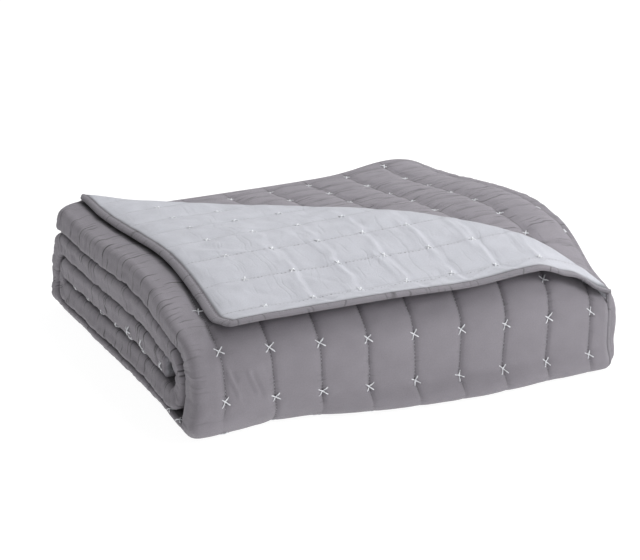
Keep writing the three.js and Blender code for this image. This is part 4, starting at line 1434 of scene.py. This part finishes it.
def fabric(name, face, reverse, roughness, sheen, weave_depth, seam_shade, seam_width, crease_shade):
    """Woven cloth. The third value of the cloth layer says which of the two sides a point is on."""
    nodes = Nodes(bpy.data.materials.new(name))
    across, along, side = nodes.stored("cloth")
    column, sewn, puckered = nodes.stored("marks")
    contact = nodes.add("Attribute", attribute_name="contact")["Fac"]
    flat = nodes.flat(across, along)
    turns = THREADS_PER_PITCH * 2 * math.pi
    threads = nodes.math("SINE", across * turns) * nodes.math("SINE", along * turns)
    slubs = nodes.noise(flat, 34.0, 4.0, 0.7)
    grain = nodes.noise(flat, 120.0, 2.0, 0.6)
    clouds = nodes.noise(flat, 2.3, 3.0, 0.55)
    # Painted shade at the seams: the sewn line itself and a wider shade in the seam's valley.
    to_seam = abs(column - round(column)) * PITCH
    seam = to_seam.ramp(seam_width * 0.3, seam_width, 0.7, 0.0) + to_seam.ramp(0.0, 4.5, 0.3, 0.0)
    seam = seam * sewn * clouds.ramp(0.35, 0.65, 0.6, 1.0)
    weight = nodes.math("MAXIMUM", puckered, to_seam.ramp(0.0, 7.0, 0.45, 0.0))
    # The pucker lines darken the colour as painted shade in their creases, and dent the bump too.
    crease = creases(nodes, across, along) * weight
    shade = slubs.ramp(0.3, 0.7, 0.93, 1.06) + grain.ramp(0.3, 0.7, -0.05, 0.05)
    shade = shade * clouds.ramp(0.3, 0.7, 0.96, 1.04) + threads * 0.02
    # Painted shade multiplies the colour: at the seams, in the pucker creases, and by the layer that holds
    # shade between layers and under the tape, together with the tape's dark join line.
    for mark, darkest in ((seam, 1.0 - seam_shade), (crease, 1.0 - crease_shade), (contact, PAINTED_SHADE_AND_JOIN_DARKEST)):
        shade = shade * mark.ramp(0.0, 1.0, 1.0, darkest)
    height = threads * 0.5 + slubs * 1.6 + grain - crease * 4.0
    nodes.surface(
        Base_Color=nodes.mix(1.0, nodes.mix(side, reverse, face), nodes.grey(shade), "MULTIPLY"),
        Roughness=slubs.ramp(0.3, 0.7, roughness + 0.05, roughness - 0.05),
        Normal=nodes.add("Bump", Height=height, Strength=weave_depth, Distance=0.0004)["Normal"],
        Sheen_Weight=sheen,
        Sheen_Roughness=0.45,
        Specular_IOR_Level=0.25,
    )
    return nodes.owner


def thread(name, light, dark):
    """Stitching thread: fine fibres in two close tones."""
    nodes = Nodes(bpy.data.materials.new(name))
    fibres = nodes.noise(nodes.add("TexCoord")["Object"], 900.0, 3.0, 0.7)
    nodes.surface(
        Base_Color=nodes.mix(fibres.ramp(0.3, 0.7), dark, light),
        Normal=nodes.add("Bump", Height=fibres, Strength=0.5, Distance=0.0003)["Normal"],
        Roughness=fibres.ramp(0.3, 0.7, 0.8, 0.65),
        Sheen_Weight=0.15,
    )
    return nodes.owner


GREY = (0.262, 0.246, 0.272, 1)
PALE = (0.49, 0.497, 0.54, 1)
TAPE_GREY = (0.222, 0.21, 0.232, 1)

face_cloth = fabric("grey_quilted_face", GREY, PALE, 0.82, 0.12, 0.5, 0.5, 1.1, 0.72)
pale_cloth = fabric("pale_bluish_reverse", GREY, PALE, 0.78, 0.1, 0.4, 0.12, 1.3, 0.12)
tape_cloth = fabric("grey_binding_tape", TAPE_GREY, TAPE_GREY, 0.72, 0.1, 0.5, 0.6, 2.2, 0.5)
white_thread = thread("white_stitch_thread", (0.9, 0.91, 0.93, 1), (0.62, 0.63, 0.67, 1))
grey_thread = thread("grey_seam_thread", (0.42, 0.41, 0.44, 1), (0.24, 0.23, 0.26, 1))

folded = folded_cloth(face_cloth)
turned = turned_corner(pale_cloth)
long_at = long_stations()
end_at = end_stations()
long_tape = tape("binding_tape_long_side", long_at, tape_cloth, 51, 3.58 * PITCH - TURNED_EDGE_X)
end_tape = tape("binding_tape_end", end_at, tape_cloth, 52, 5.3 * PITCH)
crosses = cross_stitches(white_thread)
channel_thread = seam_thread("channel_seam_thread", seam_lines(), 61, grey_thread)
tape_seams = [tape_seam(at, side) for at in (long_at, end_at) for side in (1, -1)]
tape_thread = seam_thread("binding_seam_thread", tape_seams, 62, grey_thread)

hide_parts("quilted_cloth")
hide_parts("pale_reverse")
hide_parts("binding_long_side")
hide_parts("binding_end")


# Stage, light and camera.
WHITE = (1, 1, 1, 1)
FLOOR_REACH = 9.0
FLOOR_HEIGHT = -0.0005


def white_floor():
    mesh = bpy.data.meshes.new("studio_floor")
    corners = [(x * FLOOR_REACH, y * FLOOR_REACH, 0) for x, y in ((-1, -1), (1, -1), (1, 1), (-1, 1))]
    mesh.from_pydata(corners, [], [(0, 1, 2, 3)])
    nodes = Nodes(bpy.data.materials.new("studio_floor_white"))
    tone = nodes.noise(nodes.add("TexCoord")["Object"], 3.0).ramp(0.3, 0.7, 0.14, 0.16)
    nodes.surface(Base_Color=nodes.grey(tone), Roughness=0.9, Emission_Color=WHITE, Emission_Strength=0.92)
    mesh.materials.append(nodes.owner)
    in_scene("studio_floor", mesh, (0, 0, FLOOR_HEIGHT))


def soft_light(name, place, target, size, power):
    lamp = bpy.data.lights.new(name, "AREA")
    lamp.shape = "DISK"
    lamp.size = size
    lamp.energy = power
    turn = (Vector(target) - Vector(place)).to_track_quat("-Z", "Y").to_euler()
    in_scene(name, lamp, place, turn)


def studio():
    nodes = Nodes(bpy.data.worlds.new("studio_world"), "Background")
    across = nodes.add("SeparateXYZ", Vector=nodes.add("TexCoord")["Generated"])["X"]
    nodes.surface(Color=WHITE, Strength=across.ramp(-0.9, 0.7, 0.34, 0.8))
    scene = bpy.context.scene
    scene.world = nodes.owner
    soft_light("key_light", (1.15, -1.5, 0.85), (0.05, 0, 0.05), 0.7, 15)
    soft_light("top_light", (1.2, 0.5, 2.3), (0, 0, 0.05), 1.4, 42)
    scene.view_settings.view_transform = "Standard"
    scene.view_settings.look = "None"


# The camera in pitches from the plain pack's origin, and its turn in degrees.
CAMERA_PLACE = (-11.924, -30.545, 13.446)
CAMERA_TURN = (90 - 17.481, 0, -24.378)
CAMERA_LENS = 106.48


def camera():
    lens = bpy.data.cameras.new("photo_camera")
    lens.lens = CAMERA_LENS
    lens.sensor_width = 36
    lens.sensor_fit = "HORIZONTAL"
    lens.clip_end = 100
    place = PACK_ORIGIN + np.array(CAMERA_PLACE) * PITCH / 1000
    bpy.context.scene.camera = in_scene("photo_camera", lens, place, np.radians(CAMERA_TURN))


white_floor()
studio()
camera()
